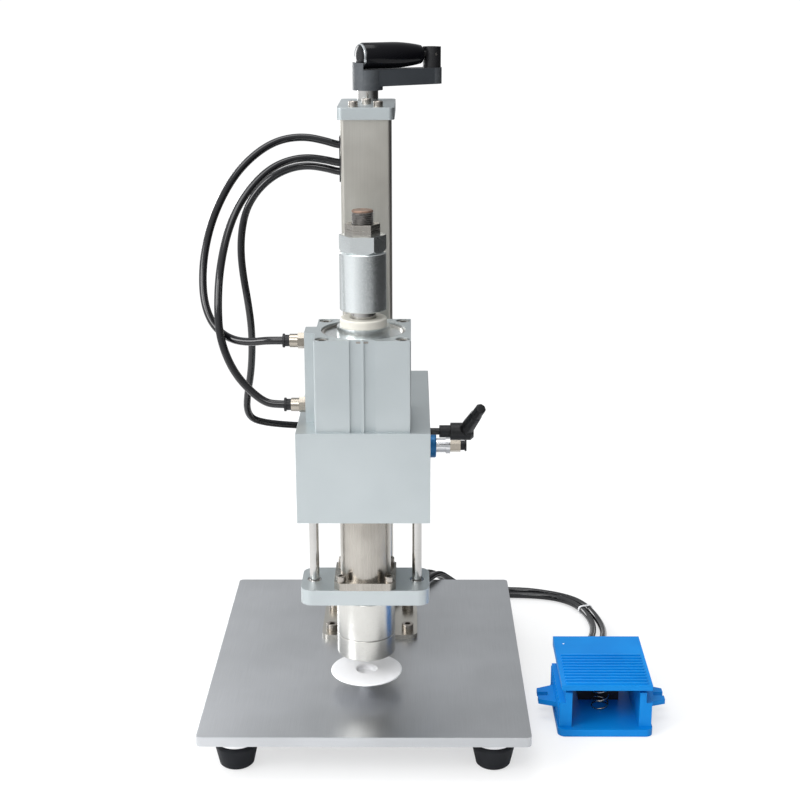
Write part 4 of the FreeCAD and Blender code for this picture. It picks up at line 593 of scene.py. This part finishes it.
    def spin(self, item: bpy.types.Object, steps: int, climb: float = 0.0, turns: int = 1) -> None:
        """Spin an outline about Z into faces that look outward.

        Args:
            item: The outline, which is the active object.
            steps: The faces round one turn.
            climb: The height gained in one turn.
            turns: The number of turns.
        """
        screw = item.modifiers.new("spin", "SCREW")
        screw.screw_offset = climb
        screw.iterations = turns
        screw.steps = screw.render_steps = steps
        screw.use_merge_vertices = True
        screw.merge_threshold = 1e-6
        bpy.ops.object.modifier_apply(modifier=screw.name)
        self.face_outward(item)

    def face_outward(self, item: bpy.types.Object) -> None:
        """Turn all faces of a shape outward."""
        self.pick(item)
        bpy.ops.object.mode_set(mode="EDIT")
        bpy.ops.mesh.select_all(action="SELECT")
        bpy.ops.mesh.normals_make_consistent(inside=False)
        bpy.ops.object.mode_set(mode="OBJECT")

    def thread(self, name: str, root: float, crest: float, low: float, high: float,
               pitch: float) -> bpy.types.Object:
        """A screw thread about Z as a real helix, closed by a plain core.

        Args:
            name: The piece's name.
            root: The radius at the thread's bottom.
            crest: The radius at its top.
            low: The height where it starts.
            high: The height where it ends.
            pitch: The height of one turn.

        Returns:
            The threaded piece.
        """
        corners = [(root, 0, low), (crest, 0, low + pitch / 2), (root, 0, low + pitch)]
        item = self.section(name, corners, [(0, 1), (1, 2)])
        self.spin(item, 36, pitch, max(1, int((high - low) / pitch) - 1))
        lead = 0.3 * MM
        core = self.turned(name + "_core", [(root - lead, low), (root + lead, low + lead),
                                            (root + lead, high - 2 * lead), (root - lead, high)])
        return self.join([item, core], name)

    def coil(self, name: str, radius: float, wire: float, low: float, high: float, turns: float,
             centre: tuple[float, float]) -> bpy.types.Object:
        """A coil spring with closed ends, as a tube along a helix.

        Args:
            name: The piece's name.
            radius: The helix's radius, to the middle of the wire.
            wire: The wire's thickness.
            low: The height of the spring's foot.
            high: The height of its top.
            turns: The number of turns.
            centre: The axis's X and Y.

        Returns:
            The spring.
        """
        count = int(turns * 20)
        curve = bpy.data.curves.new(name, "CURVE")
        curve.dimensions = "3D"
        curve.bevel_depth = wire / 2
        curve.bevel_resolution = 3
        curve.use_fill_caps = True
        spline = curve.splines.new("POLY")
        spline.points.add(count)
        for index in range(count + 1):
            share = index / count
            angle = 2 * math.pi * turns * share
            eased = min(max((share - 0.1) / 0.8, 0), 1)
            level = low + wire / 2 + (high - low - wire) * eased
            spline.points[index].co = (centre[0] + radius * math.cos(angle),
                                       centre[1] + radius * math.sin(angle), level, 1)
        item = add(name, curve)
        self.pick(item)
        bpy.ops.object.convert(target="MESH")
        self.smooth(bpy.context.object, 60)
        return bpy.context.object


@dataclass
class Stand:
    """The base plate with its feet, the column and its cap."""

    bench: Bench
    plate_edge: float = 0.7 * MM
    part_edge: float = 0.5 * MM
    screw_edge: float = 0.25 * MM
    rubber_edge: float = 0.9 * MM
    plain: tuple = ("column", "column_cap", "hose_grommets", "bottle_seat", "foot_spacers")
    screws: tuple = ("flange_screws", "cap_screws", "screw_bearings")

    def build(self) -> None:
        """Round and dress every piece of the stand."""
        self.bench.copy_node("base_plate", self.plate_edge)
        for node in self.plain:
            self.bench.copy_node(node, self.part_edge)
        for node in self.screws:
            self.bench.copy_node(node, self.screw_edge)
        self.bench.copy_node("rubber_feet", self.rubber_edge)


@dataclass
class Crank:
    """The lifting screw with its crank, and the folded grip."""

    bench: Bench
    pitch: float = 4 * MM
    thread_depth: float = 0.9 * MM
    journal: float = 13 * MM
    neck_share: float = 0.72
    swell_share: float = 0.5
    rim: float = 1.0 * MM
    face: float = 2.2 * MM
    overlap: float = 0.5 * MM

    def build(self) -> None:
        """Model the screw and the grip, and dress the rest."""
        bench = self.bench
        bench.copy_node("crank_arm", 1.3 * MM)
        bench.copy_node("grip_pivot", 0.6 * MM)
        bench.copy_node("grip_stem", 0.3 * MM)
        self.screw()
        self.grip()

    def screw(self) -> None:
        """The lifting screw: plain journals at both ends, its thread between."""
        bench = self.bench
        low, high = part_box("lead_screw")
        radius = (high.x - low.x) / 2
        centre = ((low.x + high.x) / 2, (low.y + high.y) / 2)
        start = low.z + self.journal
        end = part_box("column_cap")[0].z - 2 * MM
        thread = bench.thread("screw_thread", radius - self.thread_depth, radius, start, end, self.pitch)
        foot = bench.turned("screw_foot", [(radius - MM, low.z), (radius, low.z + MM), (radius, start)])
        head = bench.turned("screw_head", [(radius, end), (radius, high.z - MM), (radius - MM, high.z)])
        item = bench.join([thread, foot, head], "lifting_screw")
        bench.put(item, Matrix.Translation((*centre, 0)))
        bench.smooth(item, 28)
        bench.hang(item, "crank", "screw_steel", ("lead_screw",))

    def reach(self, node: str, pivot: Vector, along: Vector) -> tuple[float, float]:
        """How far a node reaches along the grip's axis, at its near and its far end."""
        mesh = self.bench.frame["nodes"][node].data
        spots = [(Vector(vertex.co) - pivot).dot(along) for vertex in mesh.vertices]
        return min(spots), max(spots)

    def grip(self) -> None:
        """The polished barrel, fuller at its free end and drawn in to a neck, with its end cap."""
        bench = self.bench
        joint = bench.joint("grip_spin")
        along = Vector(joint["axis"]).normalized()
        pivot = Vector(joint["pos_m"])
        place = (Matrix.Translation(pivot)
                 @ Vector((0, 0, 1)).rotation_difference(along).to_matrix().to_4x4())
        start, end = self.reach("grip_barrel", pivot, along)
        depth = self.reach("grip_cap", pivot, along)[1] - end
        low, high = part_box("grip_barrel")
        full = (high.z - low.z) / 2
        neck = full * self.neck_share
        steps = [(neck - 1.2 * MM, start), (neck, start + 1.2 * MM)]
        for share in (0.1, 0.2, 0.3, 0.4, 0.5):
            swell = math.sin(math.pi / 2 * share / self.swell_share)
            steps.append((neck + (full - neck) * swell, start + (end - start) * share))
        steps += [(full, end - 1.5 * MM), (full - self.rim, end)]
        barrel = bench.turned("grip_handle", steps, 72)
        rim, face, inner = full - self.rim, full - self.face, end - self.overlap
        band = bench.lathe("grip_rim", [
            (face, inner), (rim, inner), (rim, end + depth * 0.5),
            (face + 0.4 * MM, end + depth * 0.8), (face, end + depth * 0.7)], 72)
        cap = bench.turned("grip_face", [
            (face, inner), (face, end + depth * 0.6), (face * 0.8, end + depth - 0.15 * MM),
            (face * 0.5, end + depth)], 72)
        for piece, angle, slot, nodes in ((barrel, 40, "grip_plastic", ("grip_barrel",)),
                                          (band, 35, "grip_end", ("grip_cap",)),
                                          (cap, 35, "grip_plastic", ())):
            bench.put(piece, place)
            bench.smooth(piece, angle)
            bench.hang(piece, "grip", slot, nodes)


@dataclass
class Carriage:
    """The block, the compact cylinder on it, and what is screwed to them."""

    bench: Bench
    wide: tuple = ("carriage_block", "cylinder_barrel", "nut_bracket")
    small: tuple = ("cylinder_covers", "bumper_pad", "cylinder_screws", "push_in_fittings",
                    "valve_body", "valve_sleeve", "release_ring", "lead_nut")
    collar: tuple = ((4.3, 0.2), (5.75, 0.2), (5.75, 5), (6.95, 5), (6.95, 6.9), (6.6, 7.15), (4.3, 7.15))
    collar_depth: float = 7 * MM
    cylinder_ports: tuple = (424 * MM, 358 * MM)
    valve_port: tuple = (22 * MM, 249.5 * MM)

    def build(self) -> None:
        """Round and dress the carriage."""
        for node in self.wide:
            self.bench.copy_node(node, 0.5 * MM)
        for node in self.small:
            self.bench.copy_node(node, 0.3 * MM)
        self.collars()

    def collars(self) -> None:
        """The black release collar on each fitting that holds a hose."""
        bench = self.bench
        low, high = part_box("push_in_fittings")
        rings = []
        for place, turn in self.places(low.x, high.y):
            ring = bench.lathe("collar", [(radius * MM, level * MM) for radius, level in self.collar])
            bench.put(ring, Matrix.Translation(place) @ turn)
            rings.append(ring)
        item = bench.join(rings, "release_collars")
        bench.smooth(item, 35)
        bench.hang(item, "carriage", "black_plastic")

    def places(self, left: float, back: float) -> list[tuple[Vector, Matrix]]:
        """Where each collar stands, and how it is turned.

        Args:
            left: The outer end of the two cylinder fittings.
            back: The outer end of the valve's fitting.

        Returns:
            Pairs of place and rotation, the ring's own axis being Z.
        """
        sideways = Matrix.Rotation(-math.pi / 2, 4, "Y")
        backwards = Matrix.Rotation(-math.pi / 2, 4, "X")
        ports = [(Vector((left + self.collar_depth, 0, level)), sideways)
                 for level in self.cylinder_ports]
        across, level = self.valve_port
        return [*ports, (Vector((across, back - self.collar_depth, level)), backwards)]


@dataclass
class Ram:
    """The moving part: rod, stroke stop, ram, tool plate, head and presser."""

    bench: Bench
    rod_pitch: float = 2 * MM
    rod_depth: float = 1.2 * MM
    thread_radius: float = 11 * MM
    sleeve_radius: float = 23 * MM
    sleeve_bore: float = 10.6 * MM
    sleeve_step: float = 57.5 * MM
    hexagon_half: float = 20 * MM
    hexagon_turn: float = math.pi / 6
    spring_wire: float = 2 * MM
    spring_turns: float = 5
    presser_travel: float = 5 * MM
    small: tuple = ("jam_nuts", "ram_tube", "ram_flange_screws", "guide_rods",
                    "head_body", "closing_ring", "collet", "presser")

    def build(self) -> None:
        """Dress the ram, and model the rod's end and the presser's spring."""
        bench = self.bench
        bench.copy_node("tool_plate", 0.7 * MM)
        for node in self.small:
            bench.copy_node(node, 0.4 * MM)
        self.rod()
        self.sleeve()
        low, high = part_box("presser_spring")
        spring = bench.coil("head_spring", (high.x - low.x - self.spring_wire) / 2, self.spring_wire,
                            low.z, high.z, self.spring_turns, (0, 0))
        bench.hang(spring, "ram", "spring_steel", ("presser_spring",))
        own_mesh(spring)

    def sleeve(self) -> None:
        """The stroke stop: a turned body under a hexagon, whose lower corners are turned away."""
        bench = self.bench
        low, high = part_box("stop_sleeve")
        radius, bore, step = self.sleeve_radius, self.sleeve_bore, low.z + self.sleeve_step
        corner = self.hexagon_half / math.cos(math.pi / 6)
        body = bench.lathe("sleeve_body", [
            (bore, low.z), (radius - 0.6 * MM, low.z), (radius, low.z + 0.6 * MM),
            (radius, step - 1.2 * MM), (radius - 0.6 * MM, step - 0.6 * MM), (bore, step - 0.6 * MM)], 96)
        hexagon = bench.turned("sleeve_hexagon", [(corner, step - 0.9 * MM), (corner, high.z)], 6)
        bench.put(hexagon, Matrix.Rotation(self.hexagon_turn, 4, "Z"))
        cone = bench.turned("turning_tool", [
            (radius - 3.2 * MM, step - MM), (radius + 0.3 * MM, step + 2.8 * MM),
            (radius + 3 * MM, step + 6 * MM),
            (radius + 3 * MM, high.z - 1.6 * MM),
            (radius - 1.2 * MM, high.z + 0.6 * MM)], 96)
        bench.pick(hexagon)
        cut = hexagon.modifiers.new("turned_corners", "BOOLEAN")
        cut.operation = "INTERSECT"
        cut.solver = "EXACT"
        cut.object = cone
        bpy.ops.object.modifier_apply(modifier=cut.name)
        bpy.data.objects.remove(cone)
        bench.round_edges(hexagon, 0.25 * MM, 2, 20)
        item = bench.join([body, hexagon], "stroke_stop")
        bench.level(item)
        bench.hang(item, "ram", bench.slot_of["stop_sleeve"], ("stop_sleeve",))

    def rod(self) -> None:
        """The rod: ground below, with a weathered thread where it stands out of the lock nuts."""
        bench = self.bench
        low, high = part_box("piston_rod")
        radius = (high.x - low.x) / 2
        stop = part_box("stop_sleeve")
        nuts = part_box("jam_nuts")
        thread_radius = self.thread_radius
        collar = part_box("ram_tube")[1].z
        plain = bench.turned("ground_rod", [
            (thread_radius, low.z), (thread_radius, collar),
            (radius, collar + 0.1 * MM), (radius, stop[0].z - 0.1 * MM),
            (thread_radius - 2 * MM, stop[0].z), (thread_radius - 2 * MM, nuts[1].z - 3 * MM)])
        bench.smooth(plain)
        bench.hang(plain, "ram", "bright_steel", ("piston_rod",))
        end = bench.thread("rod_thread", thread_radius - self.rod_depth, thread_radius - 0.05 * MM,
                           nuts[1].z - 4 * MM, high.z, self.rod_pitch)
        bench.smooth(end, 28)
        bench.hang(end, "ram", "screw_steel", finish=DARK_THREAD, name="dark_thread")
        top = bench.turned("rod_end", [
            (thread_radius - 1.6 * MM, high.z - 2.4 * MM), (thread_radius - 0.5 * MM, high.z - 2 * MM),
            (thread_radius - 0.4 * MM, high.z - 0.7 * MM), (thread_radius - 1.2 * MM, high.z)])
        bench.smooth(top)
        bench.hang(top, "ram", "screw_steel", finish=RUSTY, name="weathered_end")


@dataclass
class ClampLever:
    """The indexed clamping lever: a stepped hub, and a facetted arm that thins to its tip."""

    bench: Bench
    facets: int = 8
    root: float = 8.1 * MM
    tip: float = 6.1 * MM
    neck: float = 7 * MM
    hub: float = 9.8 * MM
    neck_length: float = 12.3 * MM
    hub_length: float = 38.3 * MM
    arm_inset: float = 10 * MM

    def build(self) -> None:
        """Model the lever in the place of its node."""
        bench = self.bench
        low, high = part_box("clamp_lever")
        axis_y, axis_z = bench.joint("clamp_turn")["pos_m"][1:]
        hub_end = low.x + self.hub_length
        neck, hub, shoulder = self.neck, self.hub, low.x + self.neck_length
        shape = bench.turned("lever_hub", [
            (neck - 0.4 * MM, low.x), (neck, low.x + 0.4 * MM), (neck, shoulder - 0.2 * MM),
            (hub - 0.4 * MM, shoulder), (hub, shoulder + 0.4 * MM), (hub, hub_end - 3.5 * MM),
            (hub - 3 * MM, hub_end)], 48)
        lay = Matrix.Translation((0, axis_y, axis_z)) @ Matrix.Rotation(math.pi / 2, 4, "Y")
        bench.put(shape, lay)
        start = Vector((hub_end - self.arm_inset, axis_y, axis_z))
        tip = Vector((high.x - self.tip * 0.8, low.y + self.tip * 0.8, high.z - self.tip * 0.7))
        way = tip - start
        length = way.length
        arm = bench.turned("lever_arm", [
            (self.root, 0), (self.root, length * 0.30), (self.root - 1.1 * MM, length * 0.70),
            (self.tip, length * 0.72), (self.tip, length * 0.98), (self.tip * 0.86, length)], self.facets)
        turn = Vector((0, 0, 1)).rotation_difference(way).to_matrix().to_4x4()
        bench.put(arm, Matrix.Translation(start) @ turn)
        bench.round_edges(arm, 0.8 * MM, 2, 20)
        item = bench.join([shape, arm], "clamping_lever")
        bench.smooth(item, 30)
        bench.hang(item, "clamp_lever", "black_plastic", ("clamp_lever",))
        bench.copy_node("clamp_stud", 0.3 * MM)


@dataclass
class FootValve:
    """The blue foot valve: a floor tray with ribbed walls, a ribbed treadle and its spring."""

    bench: Bench
    ribs: int = 11
    rib_width: float = 2.9 * MM
    rib_height: float = 1.4 * MM
    rib_margin: float = 4.5 * MM
    wall_ribs: int = 12
    wall: float = 48.5 * MM
    wall_rib: float = 1.6 * MM
    wall_rib_foot: float = 8 * MM
    wall_rib_top: float = 35 * MM
    front_level: float = 59.5 * MM
    spring_wire: float = 1.6 * MM
    spring_turns: float = 6.5
    hinge: float = 72 * MM
    swing: float = math.radians(5)

    def build(self) -> None:
        """Model the base, the treadle and the spring, and dress the block."""
        self.base()
        self.treadle()
        self.spring()
        self.bench.copy_node("pedal_valve", 0.5 * MM)
        self.bench.copy_node("pedal_pin", 0.2 * MM)

    def base(self) -> None:
        """The base, with upright ribs on its outer walls."""
        bench = self.bench
        bench.copy_node("pedal_base", 0.9 * MM, "pedal_tray")
        low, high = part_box("pedal_base")
        middle = (low.x + high.x) / 2
        half = self.wall_rib / 2
        first, last = low.y + 12 * MM, high.y - 12 * MM
        ribs = []
        for side in (-1, 1):
            face = middle + side * self.wall
            near, far = sorted((face - side * MM, face + side * 1.1 * MM))
            for index in range(self.wall_ribs):
                y = first + (last - first) * index / (self.wall_ribs - 1)
                ribs.append(bench.bar("wall_rib", (near, y - half, self.wall_rib_foot),
                                      (far, y + half, self.wall_rib_top), 0.4 * MM))
        trim = bench.join(ribs, "pedal_wall_ribs")
        bench.smooth(trim)
        bench.hang(trim, "frame", "pedal_blue")

    def treadle(self) -> None:
        """The treadle, its front part ribbed across and its rear part plain."""
        bench = self.bench
        bench.copy_node("pedal_treadle", 1.0 * MM, "treadle_shell")
        low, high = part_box("pedal_treadle")
        front_z, length = self.front_level, high.y - low.y
        slope = math.atan2(high.z - front_z, length)
        extra = []
        for index in range(self.ribs):
            y = low.y + 4 * MM + length * 0.56 * index / (self.ribs - 1)
            z = front_z + (y - low.y) * math.tan(slope)
            extra.append(bench.bar(
                "tread_rib", (low.x + self.rib_margin, y - self.rib_width / 2, z - MM),
                (high.x - self.rib_margin, y + self.rib_width / 2, z + self.rib_height), 0.45 * MM))
        ribs = bench.join(extra, "treadle_ribs")
        bench.smooth(ribs)
        bench.hang(ribs, "treadle", "pedal_blue")
        dot = bench.turned("treadle_dot", [(0.9 * MM, 0), (0.9 * MM, 0.35 * MM), (0.5 * MM, 0.5 * MM)], 20)
        spot = (low.x + 10 * MM, high.y - 17 * MM)
        level = front_z + (spot[1] - low.y) * math.tan(slope) - 0.1 * MM
        bench.put(dot, Matrix.Translation((*spot, level)))
        bench.hang(dot, "treadle", "white_plastic")

    def spring(self) -> None:
        """The return spring, a coil hung on the frame."""
        bench = self.bench
        low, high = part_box("pedal_spring")
        wire = self.spring_wire
        centre = ((low.x + high.x) / 2, (low.y + high.y) / 2)
        item = bench.coil("return_spring", (high.x - low.x - wire) / 2, wire, low.z, high.z,
                          self.spring_turns, centre)
        bench.hang(item, "frame", "spring_steel", ("pedal_spring",))
        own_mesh(item)


@dataclass
class Hose:
    """One air hose: its route in millimetres, and what it joins."""

    node: str
    name: str
    route: tuple
    length: float
    bodies: tuple = ("frame",)


TEE_FACE = -20.0
TIE_LEVEL = 5.4
HOSES = (
    Hose("upper_hose", "upper_air_hose", (
        (TEE_FACE, 151, 599), (-29, 151, 599), (-43, 151, 603.5), (-64, 150.5, 608), (-86, 147, 606.5),
        (-104, 137, 600), (-121, 125, 588), (-136, 111, 572), (-148.5, 97, 551), (-158, 82, 527.5),
        (-163.5, 67, 502), (-165, 54, 478), (-163, 43, 456), (-156.5, 34, 438), (-145.5, 25.5, 426),
        (-130, 16, 420), (-112, 7, 420.5), (-98, 1.5, 423.5), (-86, 0, 424), (-69, 0, 424),
    ), 0.400, ("frame", "carriage")),
    Hose("lower_hose", "lower_air_hose", (
        (TEE_FACE, 149.5, 580.5), (-29, 149.5, 580.5), (-43, 149, 584), (-63, 146, 587),
        (-83, 139, 584.5), (-101, 126, 577), (-118, 106, 562), (-130.5, 85, 544), (-138.5, 63, 523),
        (-143, 43, 500), (-145.3, 28, 477), (-145.6, 17.5, 452), (-144.5, 12.5, 429), (-138.5, 9, 407),
        (-128.5, 6.5, 387), (-114, 4, 370.5), (-99, 1, 359.5), (-86, 0, 358), (-69, 0, 358),
    ), 0.405, ("frame", "carriage")),
    Hose("supply_hose", "supply_air_hose", (
        (TEE_FACE, 153.5, 570.5), (-29, 153.5, 570.5), (-43, 154, 574.5), (-63, 154.5, 577.5),
        (-82, 155, 574.5), (-101, 155, 565.5), (-118, 155, 550), (-130, 154.5, 530.5),
        (-135.5, 154, 507), (-137, 153.5, 483), (-135, 153, 458), (-131, 153, 431), (-128.3, 156, 402),
        (-129, 163, 373.5), (-132, 171, 345), (-137.5, 178.5, 318), (-140, 186, 297),
        (-135.5, 196, 283), (-121, 209, 274.5), (-99, 222, 268), (-74, 237, 262), (-50, 252, 256.5),
        (-28, 263, 252.5), (-4, 267, 250), (13, 262, 249.5), (20.5, 250, 249.5), (22, 237, 249.5),
        (22, 219.5, 249.5),
    ), 0.603, ("frame", "carriage")),
    Hose("floor_supply_hose", "floor_supply_line", (
        (260.5, 92, 24), (260.5, 101, 24), (262, 118, 24.5), (266.5, 142, 23.5), (273, 172, 19),
        (278.5, 203, 12.5), (280, 235, 7), (276.5, 264, TIE_LEVEL), (270, 288, TIE_LEVEL),
        (262, 306, TIE_LEVEL), (250, 322, 4.4), (234, 332.5, 4.2), (216, 340, 4.2), (198, 345.5, 4.2),
        (178, 347.5, 4.2), (157, 347.5, 4.2), (136, 347, 5), (117, 344, 9.5), (100, 337, 19),
        (87, 326, 31), (76, 311, 43.5), (66, 294, 52), (57, 276, 54), (47, 256, 53.4), (37, 237, 53.4),
        (27, 219, 55.5), (17.5, 204, 60.5), (10, 193, 65.5), (8, 184, 68), (8, 174, 68),
    ), 0.600),
    Hose("floor_outlet_hose", "floor_outlet_line", (
        (243.5, 92, 24), (243.5, 101, 24), (245.5, 118, 24.5), (250.5, 142, 23), (258.5, 172, 18.5),
        (265.5, 203, 12), (269.3, 235, 7), (267.9, 261.6, TIE_LEVEL), (262.2, 284, TIE_LEVEL),
        (254.2, 300.8, TIE_LEVEL), (243.6, 315, 4.4), (229.6, 324.1, 4.2), (212.5, 329, 4.2),
        (194.5, 331.5, 4.2), (176, 332.5, 4.2), (157, 332.5, 4.4), (138, 331, 6), (121, 326, 13),
        (107, 317, 25), (95, 306, 38), (84, 294, 50.5), (74, 277, 54.6), (63.5, 258, 53.6),
        (53, 240, 53.4), (42.5, 224, 54.5), (32.5, 210, 58.5), (24.5, 200, 62.5), (18.5, 192, 66),
        (17, 184, 68), (17, 174, 68),
    ), 0.564),
)


@dataclass
class Hoses:
    """All free hoses, and the tie round the two at the floor."""

    bench: Bench
    diameter: float = 8 * MM
    hoses: tuple = HOSES

    def build(self) -> None:
        tie = self.bench.copy_node("hose_tie", 0.2 * MM, "white_tie")
        for hose in self.hoses:
            self.one(hose)

    def line(self, hose: Hose, bevel: float) -> bpy.types.Object:
        """The hose's smooth line as a curve object.

        Args:
            hose: The hose to draw.
            bevel: The tube's radius, or 0 for the bare line.

        Returns:
            The curve object.
        """
        curve = bpy.data.curves.new(hose.name, "CURVE")
        curve.dimensions = "3D"
        curve.resolution_u = 10
        curve.bevel_depth = bevel
        curve.bevel_resolution = 6
        curve.use_fill_caps = True
        spline = curve.splines.new("NURBS")
        spline.points.add(len(hose.route) - 1)
        for point, spot in zip(spline.points, hose.route):
            point.co = (*(part * MM for part in spot), 1)
        spline.order_u = 3
        spline.use_endpoint_u = True
        return add(hose.name, curve)

    def one(self, hose: Hose) -> None:
        """One hose as a tube mesh, hung on its body where it has one, and left unattached where it joins
        two.

        Args:
            hose: The hose to make.
        """
        bench = self.bench
        bare = self.line(hose, 0.0)
        bpy.context.view_layer.update()
        measured = bpy.data.meshes.new_from_object(bare)
        bpy.data.meshes.remove(measured)
        bpy.data.objects.remove(bare)
        item = self.line(hose, self.diameter / 2)
        bench.pick(item)
        bpy.ops.object.convert(target="MESH")
        item = bpy.context.object
        item.name = hose.name
        bench.smooth(item, 50)
        if len(hose.bodies) == 1:
            bench.hang(item, hose.bodies[0], "hose_black", (hose.node,))
        else:
            bench.paint(item, "hose_black")
            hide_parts(hose.node)
            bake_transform(item)
            LOG.info("%s bends between %s", item.name, " and ".join(hose.bodies))


@dataclass
class Studio:
    """The camera at the photograph's place, soft lights and a pale floor."""

    position: Point = (0.0472, -1.4014, 0.7708)
    pitch: float = 16.24
    yaw: float = 0.46
    roll: float = -0.14
    focal_pixels: float = 1456.82
    picture: float = 800.0
    sensor: float = 36.0
    floor_size: float = 2.3
    floor_place: Point = (-0.15, 0, -0.0005)
    floor_tone: float = 0.92
    floor_white: float = 1.1
    glow: float = 0.55
    bright_side: Point = (-0.82, -0.18, 0.54)
    room_span: tuple = (-0.75, 0.85)
    room_light: tuple = (0.04, 1.15)
    backdrop: float = 1.05
    aim: Point = (0.05, 0.1, 0.3)
    lights: list = field(default_factory=lambda: [
        ("key_softbox", (-1.7, -1.1, 1.5), 1.1, 30.0),
        ("front_softbox", (-0.4, -2.0, 1.9), 0.9, 12.0),
        ("top_softbox", (-0.2, 0.0, 2.3), 1.1, 13.0),
        ("back_softbox", (-1.2, 1.9, 0.8), 0.8, 13.0),
    ])

    def build(self) -> None:
        """Set up the camera, the lights and the floor."""
        self.camera()
        self.light()
        self.floor()

    def camera(self) -> None:
        """The camera, fitted to the plate's corners and the uprights."""
        data = bpy.data.cameras.new("camera")
        data.sensor_width = self.sensor
        data.lens = self.focal_pixels / self.picture * self.sensor
        camera = add("camera", data)
        turn = (Matrix.Rotation(math.radians(self.yaw), 3, "Z")
                @ Matrix.Rotation(math.radians(90 - self.pitch), 3, "X")
                @ Matrix.Rotation(math.radians(self.roll), 3, "Z"))
        camera.location = self.position
        camera.rotation_euler = turn.to_euler()
        bpy.context.scene.camera = camera

    def light(self) -> None:
        """Large soft lights, and a pale surround."""
        aim = Vector(self.aim)
        for name, place, width, power in self.lights:
            data = bpy.data.lights.new(name, "AREA")
            data.shape = "SQUARE"
            data.size = width
            data.energy = power
            lamp = add(name, data)
            lamp.location = place
            lamp.rotation_euler = (aim - Vector(place)).to_track_quat("-Z", "Y").to_euler()
        bpy.context.scene.world = self.surround()
        bpy.context.scene.view_settings.view_transform = "Standard"

    def surround(self) -> bpy.types.World:
        """A white backdrop for the camera, and a room that is bright on the left for all else."""
        world = bpy.data.worlds.new("surround")
        world.use_nodes = True
        tree = world.node_tree
        room = tree.nodes["Background"]
        room.inputs["Color"].default_value = (0.96, 0.98, 1.0, 1)
        backdrop = tree.nodes.new("ShaderNodeBackground")
        backdrop.inputs["Color"].default_value = (1.0, 1.0, 1.0, 1)
        backdrop.inputs["Strength"].default_value = self.backdrop
        place = tree.nodes.new("ShaderNodeTexCoord")
        side = tree.nodes.new("ShaderNodeVectorMath")
        side.operation = "DOT_PRODUCT"
        side.inputs[1].default_value = self.bright_side
        share = tree.nodes.new("ShaderNodeMapRange")
        share.inputs["From Min"].default_value, share.inputs["From Max"].default_value = self.room_span
        share.inputs["To Min"].default_value, share.inputs["To Max"].default_value = self.room_light
        sight = tree.nodes.new("ShaderNodeLightPath")
        mix = tree.nodes.new("ShaderNodeMixShader")
        link = tree.links.new
        link(place.outputs["Generated"], side.inputs[0])
        link(side.outputs["Value"], share.inputs["Value"])
        link(share.outputs["Result"], room.inputs["Strength"])
        link(sight.outputs["Is Camera Ray"], mix.inputs["Fac"])
        link(room.outputs["Background"], mix.inputs[1])
        link(backdrop.outputs["Background"], mix.inputs[2])
        link(mix.outputs["Shader"], tree.nodes["World Output"].inputs["Surface"])
        return world

    def floor(self) -> None:
        """The pale floor that the machine stands on."""
        Bench.clear()
        bpy.ops.mesh.primitive_plane_add(size=self.floor_size, location=self.floor_place)
        floor = bpy.context.object
        floor.name = "studio_floor"
        material = bpy.data.materials.new("pale_floor")
        material.use_nodes = True
        shader = material.node_tree.nodes["Principled BSDF"]
        shader.inputs["Base Color"].default_value = (*[self.floor_tone] * 3, 1)
        shader.inputs["Roughness"].default_value = 0.8
        tree = material.node_tree
        white = tree.nodes.new("ShaderNodeEmission")
        white.inputs["Strength"].default_value = self.floor_white
        sight = tree.nodes.new("ShaderNodeLightPath")
        share = tree.nodes.new("ShaderNodeMath")
        share.operation = "MULTIPLY"
        share.inputs[1].default_value = self.glow
        mix = tree.nodes.new("ShaderNodeMixShader")
        tree.links.new(sight.outputs["Is Camera Ray"], share.inputs[0])
        tree.links.new(share.outputs[0], mix.inputs["Fac"])
        tree.links.new(shader.outputs["BSDF"], mix.inputs[1])
        tree.links.new(white.outputs["Emission"], mix.inputs[2])
        tree.links.new(mix.outputs["Shader"], tree.nodes["Material Output"].inputs["Surface"])
        floor.data.materials.append(material)


def main() -> None:
    """Build the press in order."""
    logging.basicConfig(level=logging.INFO, format="%(name)s: %(message)s")
    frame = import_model()
    Studio().build()
    bench = Bench(frame)
    Hoses(bench).build()
    Stand(bench).build()
    Crank(bench).build()
    Carriage(bench).build()
    Ram(bench).build()
    ClampLever(bench).build()
    FootValve(bench).build()


if __name__ == "__main__":
    main()
